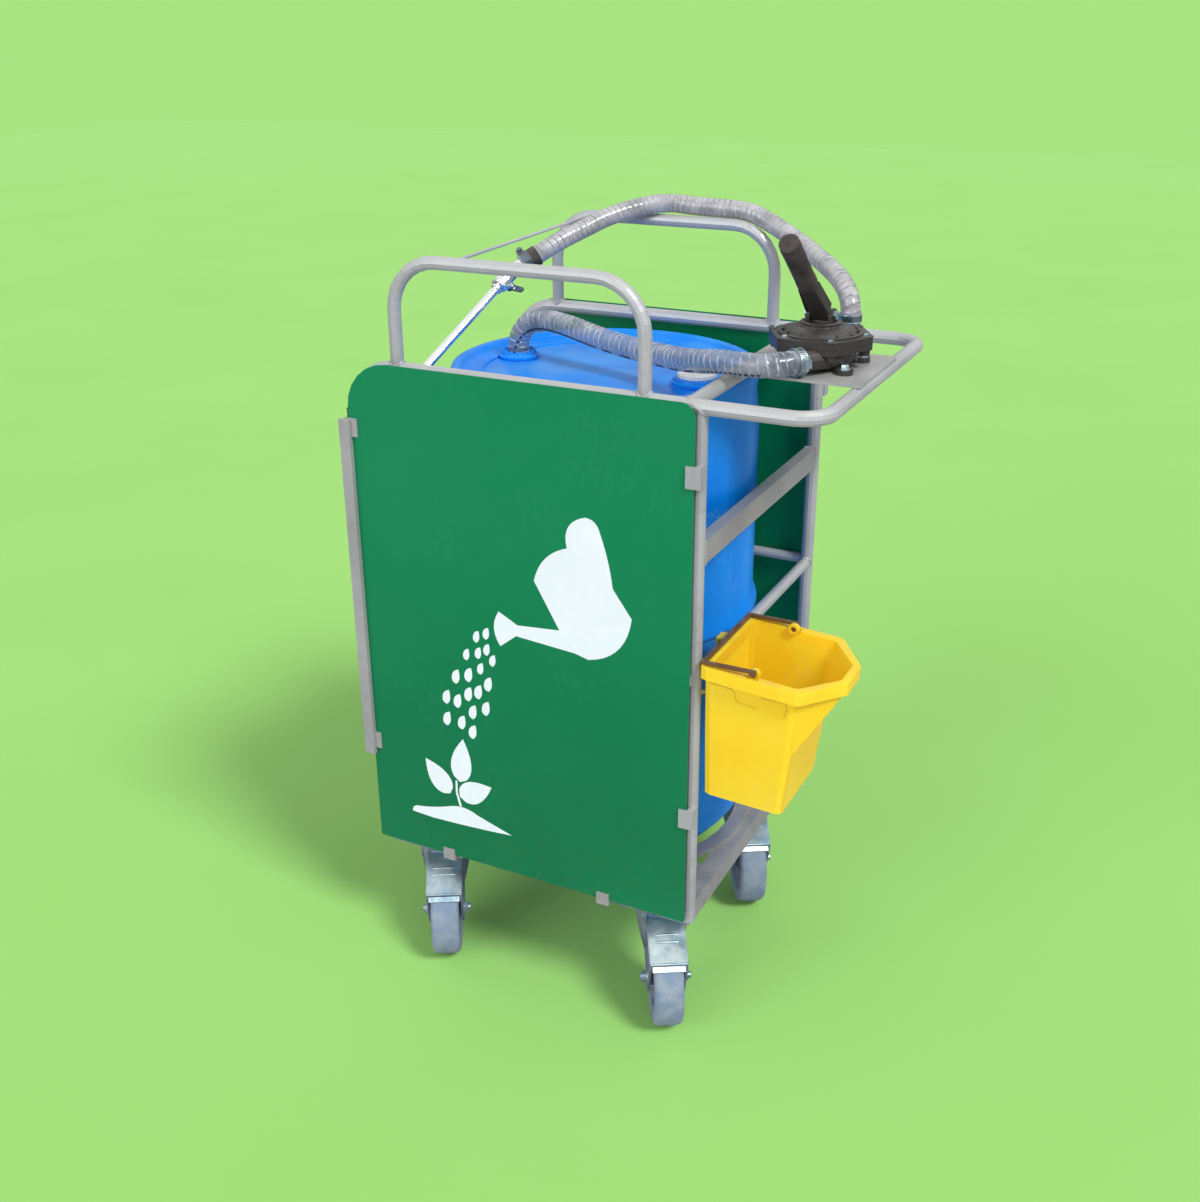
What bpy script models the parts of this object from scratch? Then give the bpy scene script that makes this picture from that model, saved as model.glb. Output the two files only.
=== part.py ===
"""A watering trolley: a welded tube frame on four swivel castors. It carries an upright drum, a hand pump
with a suction and a discharge hose, a watering lance, a bucket and two sheet side panels.

Metres, +Z up. X runs towards the pump end and Y across the trolley, and the wheels stand on z = 0. Near is
the side at -Y. Every piece is placed from the middle of the side panels, and the trolley's empty then puts
the middle of its outline over the origin.
"""

import math

import bmesh
import bpy
from mathutils import Matrix, Quaternion, Vector

TROLLEY_AT = (-0.1015, 0.0155, 0.0)
GAP = 0.0003
X_AXIS, Y_AXIS, Z_AXIS = 0, 1, 2
SIDES = {"near": -1, "far": 1}

# Frame tubes
TUBE_RADIUS = 0.011
TUBE_RESOLUTION = 4
BEND_STEPS = 7
UPRIGHT_X = 0.287
UPRIGHT_Y = 0.256
FOOT_Z = 0.220
RAIL_Z = 1.063
RAIL_FRONT_X = 0.458
REAR_BEND = 0.075
FRONT_BEND = 0.045
BETWEEN_UPRIGHTS = UPRIGHT_Y - TUBE_RADIUS - GAP
COPE_RADIUS = TUBE_RADIUS + GAP

# Guard loops, stay rod and cross tubes
LOOP_RADIUS = 0.010
LOOP_REAR_X = -0.205
LOOP_FRONT_X = 0.203
LOOP_TOP_Z = 1.225
LOOP_BEND = 0.075
STAY_RADIUS = 0.0025
STAY_NEAR = (-0.113, -UPRIGHT_Y, 1.2236)
STAY_FAR = (-0.118, UPRIGHT_Y, 1.2325)
TOP_CROSS_X = 0.269
MID_Z = 0.652
MID_CROSS_RADIUS = 0.0095
MID_RAIL_RADIUS = 0.0088
MID_RAIL_Y = 0.2655
BEAM_X = (0.276, 0.295)
BEAM_Z = (0.830, 0.865)

# Base
BASE_LOW = 0.205
BASE_TOP = 0.240
END_MEMBER_X = (0.258, 0.288)
SIDE_MEMBER_Y = (0.206, 0.246)
BEARER_Y = (0.130, 0.160)
SEAT_RING_RADII = (0.235, 0.260)
SEAT_RING_THICK = 0.006

# Side panels and what holds them
PANEL_FACES = (0.275, 0.277)
PANEL_HALF_LENGTH = 0.288
PANEL_Z = (0.228, 1.072)
CLIP_THICK = 0.003
CLIP_HEIGHTS = (0.420, 0.968)
CLIP_HALF = 0.016
BOTTOM_CLIPS_X = (-0.1475, 0.1453)
CLIP_BAR_X = (-0.302, -0.283)
CLIP_BAR_Z = (0.394, 0.980)

# Drum
DRUM_X = 0.015
DRUM_TOP = 1.0405
DRUM_FLOOR = 1.027
DRUM_SIDES = 40
BUNG_AT = (0.185, -0.027)
BUNG_BOSS_RADIUS = 0.036
BUNG_RADIUS = 0.0295
INLET_AT = (-0.152, 0.0164)
INLET_BOSS_RADIUS = 0.029

# Hoses
SUCTION_RADIUS = 0.018
DISCHARGE_RADIUS = 0.0155
CLAMP_THICK = 0.0015
SUCTION_ROUTE = (
    (-0.1520, 0.0164, 1.0285),
    (-0.1520, 0.0164, 1.0430),
    (-0.1492, 0.0163, 1.0590),
    (-0.1413, 0.0161, 1.0735),
    (-0.1290, 0.0156, 1.0845),
    (-0.1135, 0.0147, 1.0908),
    (-0.0960, 0.0130, 1.0927),
    (-0.0745, 0.0095, 1.0918),
    (-0.0470, 0.0025, 1.0890),
    (-0.0150, -0.0070, 1.0845),
    (0.0200, -0.0180, 1.0800),
    (0.0570, -0.0295, 1.0770),
    (0.0950, -0.0420, 1.0755),
    (0.1330, -0.0570, 1.0760),
    (0.1700, -0.0795, 1.0790),
    (0.2030, -0.1025, 1.0840),
    (0.2330, -0.1210, 1.0900),
    (0.2620, -0.1340, 1.0952),
    (0.2930, -0.1405, 1.0970),
    (0.3210, -0.1410, 1.0975),
    (0.3440, -0.1340, 1.0990),
    (0.3620, -0.1195, 1.0998),
    (0.3758, -0.1005, 1.0998),
)
DISCHARGE_ROUTE = (
    (0.3865, 0.0840, 1.1188),
    (0.3865, 0.0840, 1.1385),
    (0.3810, 0.0900, 1.1565),
    (0.3670, 0.1075, 1.1700),
    (0.3460, 0.1335, 1.1800),
    (0.3180, 0.1645, 1.1890),
    (0.2870, 0.1955, 1.1985),
    (0.2545, 0.2230, 1.2090),
    (0.2210, 0.2465, 1.2200),
    (0.1880, 0.2630, 1.2315),
    (0.1560, 0.2695, 1.2430),
    (0.1240, 0.2695, 1.2475),
    (0.0900, 0.2695, 1.2485),
    (0.0500, 0.2695, 1.2495),
    (0.0100, 0.2630, 1.2525),
    (-0.0240, 0.2430, 1.2492),
    (-0.0525, 0.2165, 1.2420),
    (-0.0770, 0.1870, 1.2325),
    (-0.0980, 0.1560, 1.2195),
    (-0.1155, 0.1270, 1.2085),
    (-0.1300, 0.1070, 1.1985),
    (-0.1503, 0.0830, 1.1825),
    (-0.1694, 0.0650, 1.1686),
)

# Lance: it slopes from the end of the discharge hose down to the near rear upright
LANCE_TOP = Vector((-0.1797, 0.0553, 1.1611))
LANCE_DOWN = Vector((-0.2656, -0.7872, -0.5566)).normalized()
LANCE_LENGTH = 0.366
LANCE_RADIUS = 0.007
VALVE_RADIUS = 0.0125
VALVE_LENGTH = 0.040
SPINDLE_FROM_TOP = 0.022
SPINDLE_HEIGHT = 0.016
HOLDER_FROM_TOP = 0.315

# Pump
PUMP_PLATE_X = (0.266, 0.466)
PUMP_PLATE_Y = (-0.115, 0.074)
PUMP_PLATE_Z = (RAIL_Z + TUBE_RADIUS + GAP, 1.0783)
PUMP_AT = (0.374, -0.020)
FLANGE_RADIUS = 0.080
FLANGE_Z = (1.1070, 1.1147, 1.1150, 1.1260)
PIVOT = Vector((0.374, -0.020, 1.152))
LEVER_END = Vector((0.371, -0.168, 1.272))
GRIP_RADIUS = 0.0145
INLET_STUB_RADIUS = 0.0147
OUTLET_RADIUS = 0.0140

# Bucket, in its own frame: u forward from its back edge, v across from its middle
BUCKET_BACK_X = 0.302
BUCKET_Y = -0.175
BUCKET_TOP = 0.685
RIM_SLOPE = 0.0787
WALL = 0.003
SKIRT_DROP = 0.020
BAIL_PIVOT = Vector((0.382, -0.175, 0.6815))
HOOKS_V = (-0.050, 0.050)

# Castors
SWIVEL_X = 0.2137
SWIVEL_Y = 0.191
TRAIL = 0.055
TRAIL_TURN = math.radians(-60.2)
WHEEL_RADIUS = 0.080
WHEEL_HALF = 0.0245
TYRE_SIDES = 24
CHEEK = (0.0275, 0.0305)
AXLE_RADIUS = 0.006


def clear_scene():
    for item in list(bpy.data.objects):
        bpy.data.objects.remove(item)


def finish(name, colour, roughness, metallic=0.0):
    """A Principled material from an 8-bit screen colour."""
    material = bpy.data.materials.new(name)
    material.use_nodes = True
    shader = material.node_tree.nodes["Principled BSDF"]
    linear = [((channel / 255 + 0.055) / 1.055) ** 2.4 for channel in colour]
    shader.inputs["Base Color"].default_value = (*linear, 1)
    shader.inputs["Roughness"].default_value = roughness
    shader.inputs["Metallic"].default_value = metallic
    return material


FINISHES = {
    "grey paint": ((176, 182, 188), 0.35, 0.3),
    "green sheet": ((16, 122, 80), 0.4, 0.0),
    "blue plastic": ((16, 120, 220), 0.4, 0.0),
    "white plastic": ((236, 238, 238), 0.45, 0.0),
    "clear hose": ((178, 190, 202), 0.3, 0.0),
    "zinc": ((178, 196, 206), 0.35, 0.9),
    "black casting": ((62, 60, 57), 0.6, 0.0),
    "black rubber": ((58, 50, 49), 0.75, 0.0),
    "chrome": ((235, 238, 242), 0.15, 1.0),
    "yellow plastic": ((255, 214, 40), 0.4, 0.0),
    "brown plastic": ((80, 56, 38), 0.5, 0.0),
    "hub plastic": ((120, 136, 150), 0.5, 0.0),
    "grey tyre": ((132, 150, 164), 0.7, 0.0),
}


def solid(bm):
    """A new object from a bmesh, with its faces turned out."""
    bmesh.ops.recalc_face_normals(bm, faces=bm.faces)
    mesh = bpy.data.meshes.new("solid")
    bm.to_mesh(mesh)
    bm.free()
    piece = bpy.data.objects.new("solid", mesh)
    bpy.context.scene.collection.objects.link(piece)
    return piece


def box(low, high):
    low = Vector(low)
    high = Vector(high)
    bm = bmesh.new()
    bmesh.ops.create_cube(bm, size=1)
    place = Matrix.Translation((low + high) / 2) @ Matrix.Diagonal((*(high - low), 1))
    bmesh.ops.transform(bm, matrix=place, verts=bm.verts)
    return solid(bm)


def mirrored_box(side, x_range, y_range, z_range):
    """A box on one side of the trolley: y_range is measured outwards from the middle."""
    across = sorted(side * y for y in y_range)
    return box((x_range[0], across[0], z_range[0]), (x_range[1], across[1], z_range[1]))


def rod(start, end, radius, sides=12, end_radius=None):
    start = Vector(start)
    end = Vector(end)
    run = end - start
    bm = bmesh.new()
    bmesh.ops.create_cone(
        bm,
        cap_ends=True,
        segments=sides,
        radius1=radius,
        radius2=radius if end_radius is None else end_radius,
        depth=run.length,
    )
    turn = Vector((0, 0, 1)).rotation_difference(run).to_matrix().to_4x4()
    bmesh.ops.transform(bm, matrix=Matrix.Translation((start + end) / 2) @ turn, verts=bm.verts)
    return solid(bm)


def prism(outline, axis, low, high):
    """An outline in the plane across an axis, extruded along that axis from low to high."""
    first, second = [number for number in range(3) if number != axis]
    bm = bmesh.new()
    corners = []
    for point in outline:
        place = Vector((0, 0, 0))
        place[first] = point[0]
        place[second] = point[1]
        place[axis] = low
        corners.append(bm.verts.new(place))
    face = bm.faces.new(corners)
    rise = Vector((0, 0, 0))
    rise[axis] = high - low
    swept = bmesh.ops.extrude_face_region(bm, geom=[face])
    moved = [item for item in swept["geom"] if isinstance(item, bmesh.types.BMVert)]
    bmesh.ops.translate(bm, vec=rise, verts=moved)
    return solid(bm)


def turned(profile, sides, ring=False):
    """A profile of (radius, height) points turned about the Z axis. A ring's profile closes on itself."""
    bm = bmesh.new()
    verts = [bm.verts.new((radius, 0, height)) for radius, height in profile]
    edges = [bm.edges.new(pair) for pair in zip(verts, verts[1:])]
    if ring:
        edges.append(bm.edges.new((verts[-1], verts[0])))
    bmesh.ops.spin(
        bm,
        geom=verts + edges,
        cent=(0, 0, 0),
        axis=(0, 0, 1),
        angle=math.tau,
        steps=sides,
        use_merge=True,
    )
    bmesh.ops.remove_doubles(bm, verts=bm.verts, dist=0.00001)
    return solid(bm)


def lofted(levels):
    """A closed skin over a stack of outlines that have the same number of points."""
    bm = bmesh.new()
    rings = [[bm.verts.new(point) for point in level] for level in levels]
    for lower, upper in zip(rings, rings[1:]):
        for number in range(len(lower)):
            after = (number + 1) % len(lower)
            bm.faces.new((lower[number], lower[after], upper[after], upper[number]))
    bm.faces.new(rings[0])
    bm.faces.new(rings[-1])
    return solid(bm)


def bent(corners, bends):
    """The path through some corners, each inner one rounded to its own bend radius."""
    corners = [Vector(corner) for corner in corners]
    path = [corners[0]]
    for before, corner, after, radius in zip(corners, corners[1:], corners[2:], bends):
        back = (before - corner).normalized()
        ahead = (after - corner).normalized()
        half = back.angle(ahead) / 2
        centre = corner + (back + ahead).normalized() * radius / math.sin(half)
        start = corner + back * radius / math.tan(half) - centre
        end = corner + ahead * radius / math.tan(half) - centre
        turn = start.rotation_difference(end)
        for step in range(BEND_STEPS + 1):
            path.append(centre + Quaternion().slerp(turn, step / BEND_STEPS) @ start)
    path.append(corners[-1])
    return path


def rounded(corners, radii, steps):
    """A closed outline through some corners, each rounded to its own radius."""
    outline = []
    count = len(corners)
    for number in range(count):
        corner = Vector(corners[number])
        back = (Vector(corners[number - 1]) - corner).normalized()
        ahead = (Vector(corners[(number + 1) % count]) - corner).normalized()
        half = back.angle(ahead) / 2
        centre = corner + (back + ahead).normalized() * radii[number] / math.sin(half)
        start = corner + back * radii[number] / math.tan(half) - centre
        end = corner + ahead * radii[number] / math.tan(half) - centre
        turn = start.angle_signed(end)
        for step in range(steps + 1):
            part = Matrix.Rotation(-turn * step / steps, 2)
            outline.append(tuple(centre + part @ start))
    return outline


def tube_curve(name, path, radius):
    curve = bpy.data.curves.new(name, "CURVE")
    curve.dimensions = "3D"
    curve.bevel_depth = radius
    curve.bevel_resolution = TUBE_RESOLUTION
    curve.use_fill_caps = True
    spline = curve.splines.new("POLY")
    spline.points.add(len(path) - 1)
    for point, place in zip(spline.points, path):
        point.co = (*place, 1)
    holder = bpy.data.objects.new(name, curve)
    bpy.context.scene.collection.objects.link(holder)
    return holder


def tube(path, radius):
    """A bevelled curve along the path, made into one closed mesh."""
    guide = tube_curve("guide", path, radius)
    graph = bpy.context.evaluated_depsgraph_get()
    mesh = bpy.data.meshes.new_from_object(guide.evaluated_get(graph))
    bpy.data.objects.remove(guide)
    bm = bmesh.new()
    bm.from_mesh(mesh)
    bpy.data.meshes.remove(mesh)
    bmesh.ops.remove_doubles(bm, verts=bm.verts, dist=0.00001)
    return solid(bm)


def smooth(route, spacing):
    """Points about that far apart on a smooth curve through the route's own points."""
    route = [Vector(point) for point in route]
    first = 2 * route[0] - route[1]
    last = 2 * route[-1] - route[-2]
    ends = [first, *route, last]
    path = []
    for a, b, c, d in zip(ends, ends[1:], ends[2:], ends[3:]):
        pieces = max(1, round((c - b).length / spacing))
        for step in range(pieces):
            path.append(between(a, b, c, d, step / pieces))
    path.append(route[-1])
    return path


def between(a, b, c, d, part):
    """A point between b and c, on the curve whose speed follows the square root of each distance."""
    ta = 0
    tb = ta + math.sqrt((b - a).length)
    tc = tb + math.sqrt((c - b).length)
    td = tc + math.sqrt((d - c).length)
    t = tb + (tc - tb) * part
    ab = a.lerp(b, (t - ta) / (tb - ta))
    bc = b.lerp(c, (t - tb) / (tc - tb))
    cd = c.lerp(d, (t - tc) / (td - tc))
    abc = ab.lerp(bc, (t - ta) / (tc - ta))
    bcd = bc.lerp(cd, (t - tb) / (td - tb))
    return abc.lerp(bcd, (t - tb) / (tc - tb))


def combine(base, others, operation):
    """Applies one Boolean for each other solid to the base, and removes those solids."""
    for other in others:
        modifier = base.modifiers.new("combine", "BOOLEAN")
        modifier.operation = operation
        modifier.object = other
    graph = bpy.context.evaluated_depsgraph_get()
    whole = bpy.data.meshes.new_from_object(base.evaluated_get(graph))
    base.modifiers.clear()
    base.data = whole
    for other in others:
        bpy.data.objects.remove(other)
    return base


def join(base, *others):
    return combine(base, others, "UNION")


def cut(base, *cutters):
    return combine(base, cutters, "DIFFERENCE")


def moved(piece, place, turn=None):
    """Moves a solid's mesh, turned first."""
    piece.data.transform(Matrix.Translation(place) @ (turn or Matrix.Identity(4)))
    return piece


def keep(name, piece, look, holder, pivot=(0, 0, 0)):
    """Names a piece, gives it its own material, and puts its origin at its pivot under its holder."""
    piece.name = name
    piece.data.name = name
    piece.data.materials.clear()
    piece.data.materials.append(finish(name, *FINISHES[look]))
    if piece.type == "MESH":
        piece.data.shade_smooth()
        piece.data.set_sharp_from_angle(angle=math.radians(35))
        piece.data.transform(Matrix.Translation(-Vector(pivot)))
        piece.location = pivot
    piece.parent = holder
    return piece


def empty(name, holder=None, place=(0, 0, 0), turn=0.0):
    marker = bpy.data.objects.new(name, None)
    bpy.context.scene.collection.objects.link(marker)
    marker.location = place
    marker.rotation_euler.z = turn
    marker.parent = holder
    return marker


def rail_cutter(y, z):
    """What a tube's end is coped to where it meets a long rail or loop that runs along X."""
    return rod((-0.5, y, z), (0.5, y, z), COPE_RADIUS, sides=24)


def make_main_rail(trolley):
    corners = (
        (-UPRIGHT_X, -UPRIGHT_Y, FOOT_Z),
        (-UPRIGHT_X, -UPRIGHT_Y, RAIL_Z),
        (RAIL_FRONT_X, -UPRIGHT_Y, RAIL_Z),
        (RAIL_FRONT_X, UPRIGHT_Y, RAIL_Z),
        (-UPRIGHT_X, UPRIGHT_Y, RAIL_Z),
        (-UPRIGHT_X, UPRIGHT_Y, FOOT_Z),
    )
    path = bent(corners, (REAR_BEND, FRONT_BEND, FRONT_BEND, REAR_BEND))
    keep("main_rail", tube(path, TUBE_RADIUS), "grey paint", trolley)


def make_front_upright(trolley, name, side):
    """A straight tube up to the rail, with two clips that reach out and hook over the panel's edge."""
    y = side * UPRIGHT_Y
    upright = rod((UPRIGHT_X, y, FOOT_Z), (UPRIGHT_X, y, RAIL_Z), TUBE_RADIUS)
    cut(upright, rail_cutter(y, RAIL_Z))
    tab_y = (PANEL_FACES[1] + GAP, PANEL_FACES[1] + GAP + CLIP_THICK)
    leg_x = (PANEL_HALF_LENGTH + 0.0005, 0.299)
    for height in CLIP_HEIGHTS:
        span = (height - CLIP_HALF, height + CLIP_HALF)
        tab = mirrored_box(side, (0.276, leg_x[1]), tab_y, span)
        leg = mirrored_box(side, leg_x, (0.262, tab_y[1] - 0.0001), span)
        join(upright, join(leg, tab))
    if side < 0:
        peg_z = 0.627
        peg = rod((UPRIGHT_X + 0.005, y + 0.006, peg_z), (0.3005, y + 0.013, peg_z), 0.004, sides=10)
        join(upright, peg)
    keep(f"front_upright_{name}", upright, "grey paint", trolley)


def make_guard_loop(trolley, name, side):
    """A bent tube whose two feet are coped to the top rail."""
    y = side * UPRIGHT_Y
    corners = (
        (LOOP_REAR_X, y, RAIL_Z),
        (LOOP_REAR_X, y, LOOP_TOP_Z),
        (LOOP_FRONT_X, y, LOOP_TOP_Z),
        (LOOP_FRONT_X, y, RAIL_Z),
    )
    loop = tube(bent(corners, (LOOP_BEND, LOOP_BEND)), LOOP_RADIUS)
    cut(loop, rail_cutter(y, RAIL_Z))
    keep(f"guard_loop_{name}", loop, "grey paint", trolley)


def make_stay_rod(trolley):
    rod_between = rod(STAY_NEAR, STAY_FAR, STAY_RADIUS)
    for side in SIDES.values():
        y = side * UPRIGHT_Y
        radius = LOOP_RADIUS + 2 * GAP
        cut(rod_between, rod((-0.3, y, LOOP_TOP_Z), (0.3, y, LOOP_TOP_Z), radius, sides=24))
    keep("stay_rod", rod_between, "grey paint", trolley)


def make_cross_members(trolley):
    top = rod((TOP_CROSS_X, -UPRIGHT_Y, RAIL_Z), (TOP_CROSS_X, UPRIGHT_Y, RAIL_Z), TUBE_RADIUS)
    cut(top, rail_cutter(-UPRIGHT_Y, RAIL_Z), rail_cutter(UPRIGHT_Y, RAIL_Z))
    keep("top_cross_tube", top, "grey paint", trolley)
    half = BETWEEN_UPRIGHTS
    mid = rod((UPRIGHT_X, -half, MID_Z), (UPRIGHT_X, half, MID_Z), MID_CROSS_RADIUS)
    keep("mid_cross_tube", mid, "grey paint", trolley)
    front = box((BEAM_X[0], -half, BEAM_Z[0]), (BEAM_X[1], half, BEAM_Z[1]))
    keep("drum_beam_front", front, "grey paint", trolley)
    rear = box((-BEAM_X[1], -half, BEAM_Z[0]), (-BEAM_X[0], half, BEAM_Z[1]))
    keep("drum_beam_rear", rear, "grey paint", trolley)


def make_mid_rail(trolley, name, side):
    """It passes just outside the drum's hoop and is welded to the outer half of both uprights."""
    y = side * MID_RAIL_Y
    rail = rod((-UPRIGHT_X, y, MID_Z), (UPRIGHT_X, y, MID_Z), MID_RAIL_RADIUS)
    for x in (-UPRIGHT_X, UPRIGHT_X):
        upright = (x, side * UPRIGHT_Y)
        cut(rail, rod((*upright, MID_Z - 0.05), (*upright, MID_Z + 0.05), COPE_RADIUS, sides=24))
    keep(f"mid_rail_{name}", rail, "grey paint", trolley)


def make_base(trolley):
    half = BETWEEN_UPRIGHTS
    between = END_MEMBER_X[0] - GAP
    z_range = (BASE_LOW, BASE_TOP)
    front = box((END_MEMBER_X[0], -half, BASE_LOW), (END_MEMBER_X[1], half, BASE_TOP))
    keep("base_member_front", front, "grey paint", trolley)
    rear = box((-END_MEMBER_X[1], -half, BASE_LOW), (-END_MEMBER_X[0], half, BASE_TOP))
    keep("base_member_rear", rear, "grey paint", trolley)
    for name, side in SIDES.items():
        member = mirrored_box(side, (-between, between), SIDE_MEMBER_Y, z_range)
        under = (0.219, PANEL_Z[0] - 0.0005)
        outer = PANEL_FACES[1] + GAP + CLIP_THICK
        for x in BOTTOM_CLIPS_X:
            span = (x - 0.011, x + 0.011)
            leg = mirrored_box(side, span, (SIDE_MEMBER_Y[1] - 0.005, outer - 0.0001), under)
            tab = mirrored_box(side, span, (outer - CLIP_THICK, outer), (0.219, BASE_TOP))
            join(member, join(leg, tab))
        keep(f"base_side_{name}", member, "grey paint", trolley)
    cradle = box((-0.015, -BEARER_Y[0] - 0.005, 0.212), (0.015, BEARER_Y[0] + 0.005, 0.236))
    for side in SIDES.values():
        join(cradle, mirrored_box(side, (-between, between), BEARER_Y, z_range))
    keep("drum_cradle", cradle, "grey paint", trolley)


def make_seat_ring(trolley):
    inner, outer = SEAT_RING_RADII
    low = BASE_TOP + GAP
    high = low + SEAT_RING_THICK
    profile = ((outer, low), (outer, high), (inner, high), (inner, low))
    ring = moved(turned(profile, DRUM_SIDES, ring=True), (DRUM_X, 0, 0))
    keep("drum_seat_ring", ring, "grey paint", trolley)


def make_panel(trolley, name, side):
    """Sheet with a large round corner at the top rear."""
    length = PANEL_HALF_LENGTH
    low, high = PANEL_Z
    corners = ((-length, low), (length, low), (length, high), (-length, high))
    outline = rounded(corners, (0.004, 0.004, 0.022, 0.075), steps=6)
    faces = sorted(side * y for y in PANEL_FACES)
    keep(f"panel_{name}", prism(outline, Y_AXIS, *faces), "green sheet", trolley)


def make_clip_bar(trolley, name, side):
    """A flat bar behind the panel's rear edge, with two tabs over the panel and two brackets inwards."""
    tab_y = (PANEL_FACES[1] + GAP, PANEL_FACES[1] + GAP + CLIP_THICK)
    bar = mirrored_box(side, CLIP_BAR_X, (tab_y[0], 0.2853), CLIP_BAR_Z)
    for height in CLIP_HEIGHTS:
        tab = mirrored_box(side, (-0.290, -0.272), tab_y, (height - 0.0145, height + 0.0145))
        bracket_x = (CLIP_BAR_X[0], -PANEL_HALF_LENGTH - 0.0005)
        bracket = mirrored_box(side, bracket_x, (0.260, 0.281), (height - 0.010, height + 0.010))
        join(bar, tab, bracket)
    upright = (-UPRIGHT_X, side * UPRIGHT_Y)
    cut(bar, rod((*upright, 0.3), (*upright, 1.1), COPE_RADIUS + GAP, sides=24))
    keep(f"clip_bar_{name}", bar, "grey paint", trolley)


def make_pump_plate(trolley):
    """Sheet laid across the front loop and the top cross tube."""
    low_y, high_y = PUMP_PLATE_Y
    corners = (
        (PUMP_PLATE_X[0], low_y),
        (PUMP_PLATE_X[1], low_y),
        (PUMP_PLATE_X[1], high_y),
        (PUMP_PLATE_X[0], high_y),
    )
    outline = rounded(corners, (0.006,) * 4, steps=3)
    keep("pump_plate", prism(outline, Z_AXIS, *PUMP_PLATE_Z), "grey paint", trolley)


def make_drum(trolley):
    """A closed drum: a thick rim round a sunk top, one rolling hoop, and a narrower foot."""
    profile = (
        (0.0, DRUM_FLOOR),
        (0.214, DRUM_FLOOR - 0.001),
        (0.227, 1.031),
        (0.231, DRUM_TOP - 0.002),
        (0.242, DRUM_TOP),
        (0.2448, 1.036),
        (0.2448, 1.018),
        (0.2425, 1.008),
        (0.2450, 0.985),
        (0.2486, 0.950),
        (0.2486, 0.676),
        (0.2512, 0.660),
        (0.2560, 0.647),
        (0.2560, 0.642),
        (0.2492, 0.636),
        (0.2486, 0.600),
        (0.2486, 0.305),
        (0.2430, 0.277),
        (0.2260, 0.255),
        (0.2120, BASE_TOP + 2 * GAP),
        (0.0, BASE_TOP + 2 * GAP),
    )
    drum = moved(turned(profile, DRUM_SIDES), (DRUM_X, 0, 0))
    boss = rod((*BUNG_AT, 1.02), (*BUNG_AT, DRUM_TOP), BUNG_BOSS_RADIUS, sides=24)
    collar = rod((*INLET_AT, 1.02), (*INLET_AT, 1.037), INLET_BOSS_RADIUS, sides=24)
    join(drum, boss, collar)
    hole = rod((*INLET_AT, 1.028), (*INLET_AT, 1.1), SUCTION_RADIUS + 0.0006, sides=24)
    keep("drum", cut(drum, hole), "blue plastic", trolley)


def make_bung_cap(trolley):
    low = DRUM_TOP + GAP
    profile = (
        (0.0, low + 0.0072),
        (BUNG_RADIUS - 0.003, low + 0.0072),
        (BUNG_RADIUS, low + 0.0055),
        (BUNG_RADIUS, low),
        (0.0, low),
    )
    cap = moved(turned(profile, 24), (*BUNG_AT, 0))
    ridge_z = low + 0.005
    ridge = box(
        (BUNG_AT[0] - 0.020, BUNG_AT[1] - 0.003, ridge_z),
        (BUNG_AT[0] + 0.020, BUNG_AT[1] + 0.003, ridge_z + 0.0042),
    )
    keep("bung_cap", join(cap, ridge), "white plastic", trolley, (*BUNG_AT, low))


def make_hoses(trolley):
    suction = tube_curve("suction_hose", smooth(SUCTION_ROUTE, 0.02), SUCTION_RADIUS)
    keep("suction_hose", suction, "clear hose", trolley)
    discharge = tube_curve("discharge_hose", smooth(DISCHARGE_ROUTE, 0.02), DISCHARGE_RADIUS)
    keep("discharge_hose", discharge, "clear hose", trolley)


def make_clamp(trolley, name, route, from_end, hose_radius, screw_towards):
    """A thin band round the hose, 12 mm wide, with its screw housing on one side."""
    width = 0.012
    end = Vector(route[-1 if from_end else 0])
    inner = Vector(route[-2 if from_end else 1])
    along = (inner - end).normalized()
    start = end + along * 0.003
    band = rod(start, start + along * width, hose_radius + 2 * GAP + CLAMP_THICK, sides=24)
    screw = Vector(screw_towards)
    screw -= screw.dot(along) * along
    screw.normalize()
    around = along.cross(screw)
    housing = box((-0.0035, -0.006, 0.0006), (0.0055, 0.006, width - 0.0006))
    axes = Matrix((screw, around, along)).transposed().to_4x4()
    reach = hose_radius + CLAMP_THICK + 0.003
    moved(housing, start + screw * reach, axes)
    join(band, housing)
    bore = rod(start - along * 0.01, start + along * 0.03, hose_radius + 2 * GAP, sides=24)
    keep(name, cut(band, bore), "zinc", trolley)


def make_lance(trolley):
    """A thin tube with the valve body at its top, and an angled tail that meets the end of the hose."""
    hose_end = Vector(DISCHARGE_ROUTE[-1])
    into = (hose_end - Vector(DISCHARGE_ROUTE[-2])).normalized()
    valve_end = LANCE_TOP + LANCE_DOWN * VALVE_LENGTH
    lance = rod(LANCE_TOP - LANCE_DOWN * 0.003, valve_end, VALVE_RADIUS)
    tail = rod(hose_end + into * GAP * 2, LANCE_TOP + into * 0.004, VALVE_RADIUS - 0.001)
    tip = LANCE_TOP + LANCE_DOWN * LANCE_LENGTH
    seat = LANCE_TOP + LANCE_DOWN * SPINDLE_FROM_TOP
    spindle = rod(seat, seat + spindle_axis() * SPINDLE_HEIGHT, 0.0075)
    join(lance, tail, rod(valve_end - LANCE_DOWN * 0.004, tip, LANCE_RADIUS), spindle)
    keep("lance", lance, "chrome", trolley)


def spindle_axis():
    """The valve's spindle stands square to the lance and to its lever, on the underside."""
    return -LANCE_DOWN.cross(Vector((0.97, -0.24, 0))).normalized()


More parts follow.
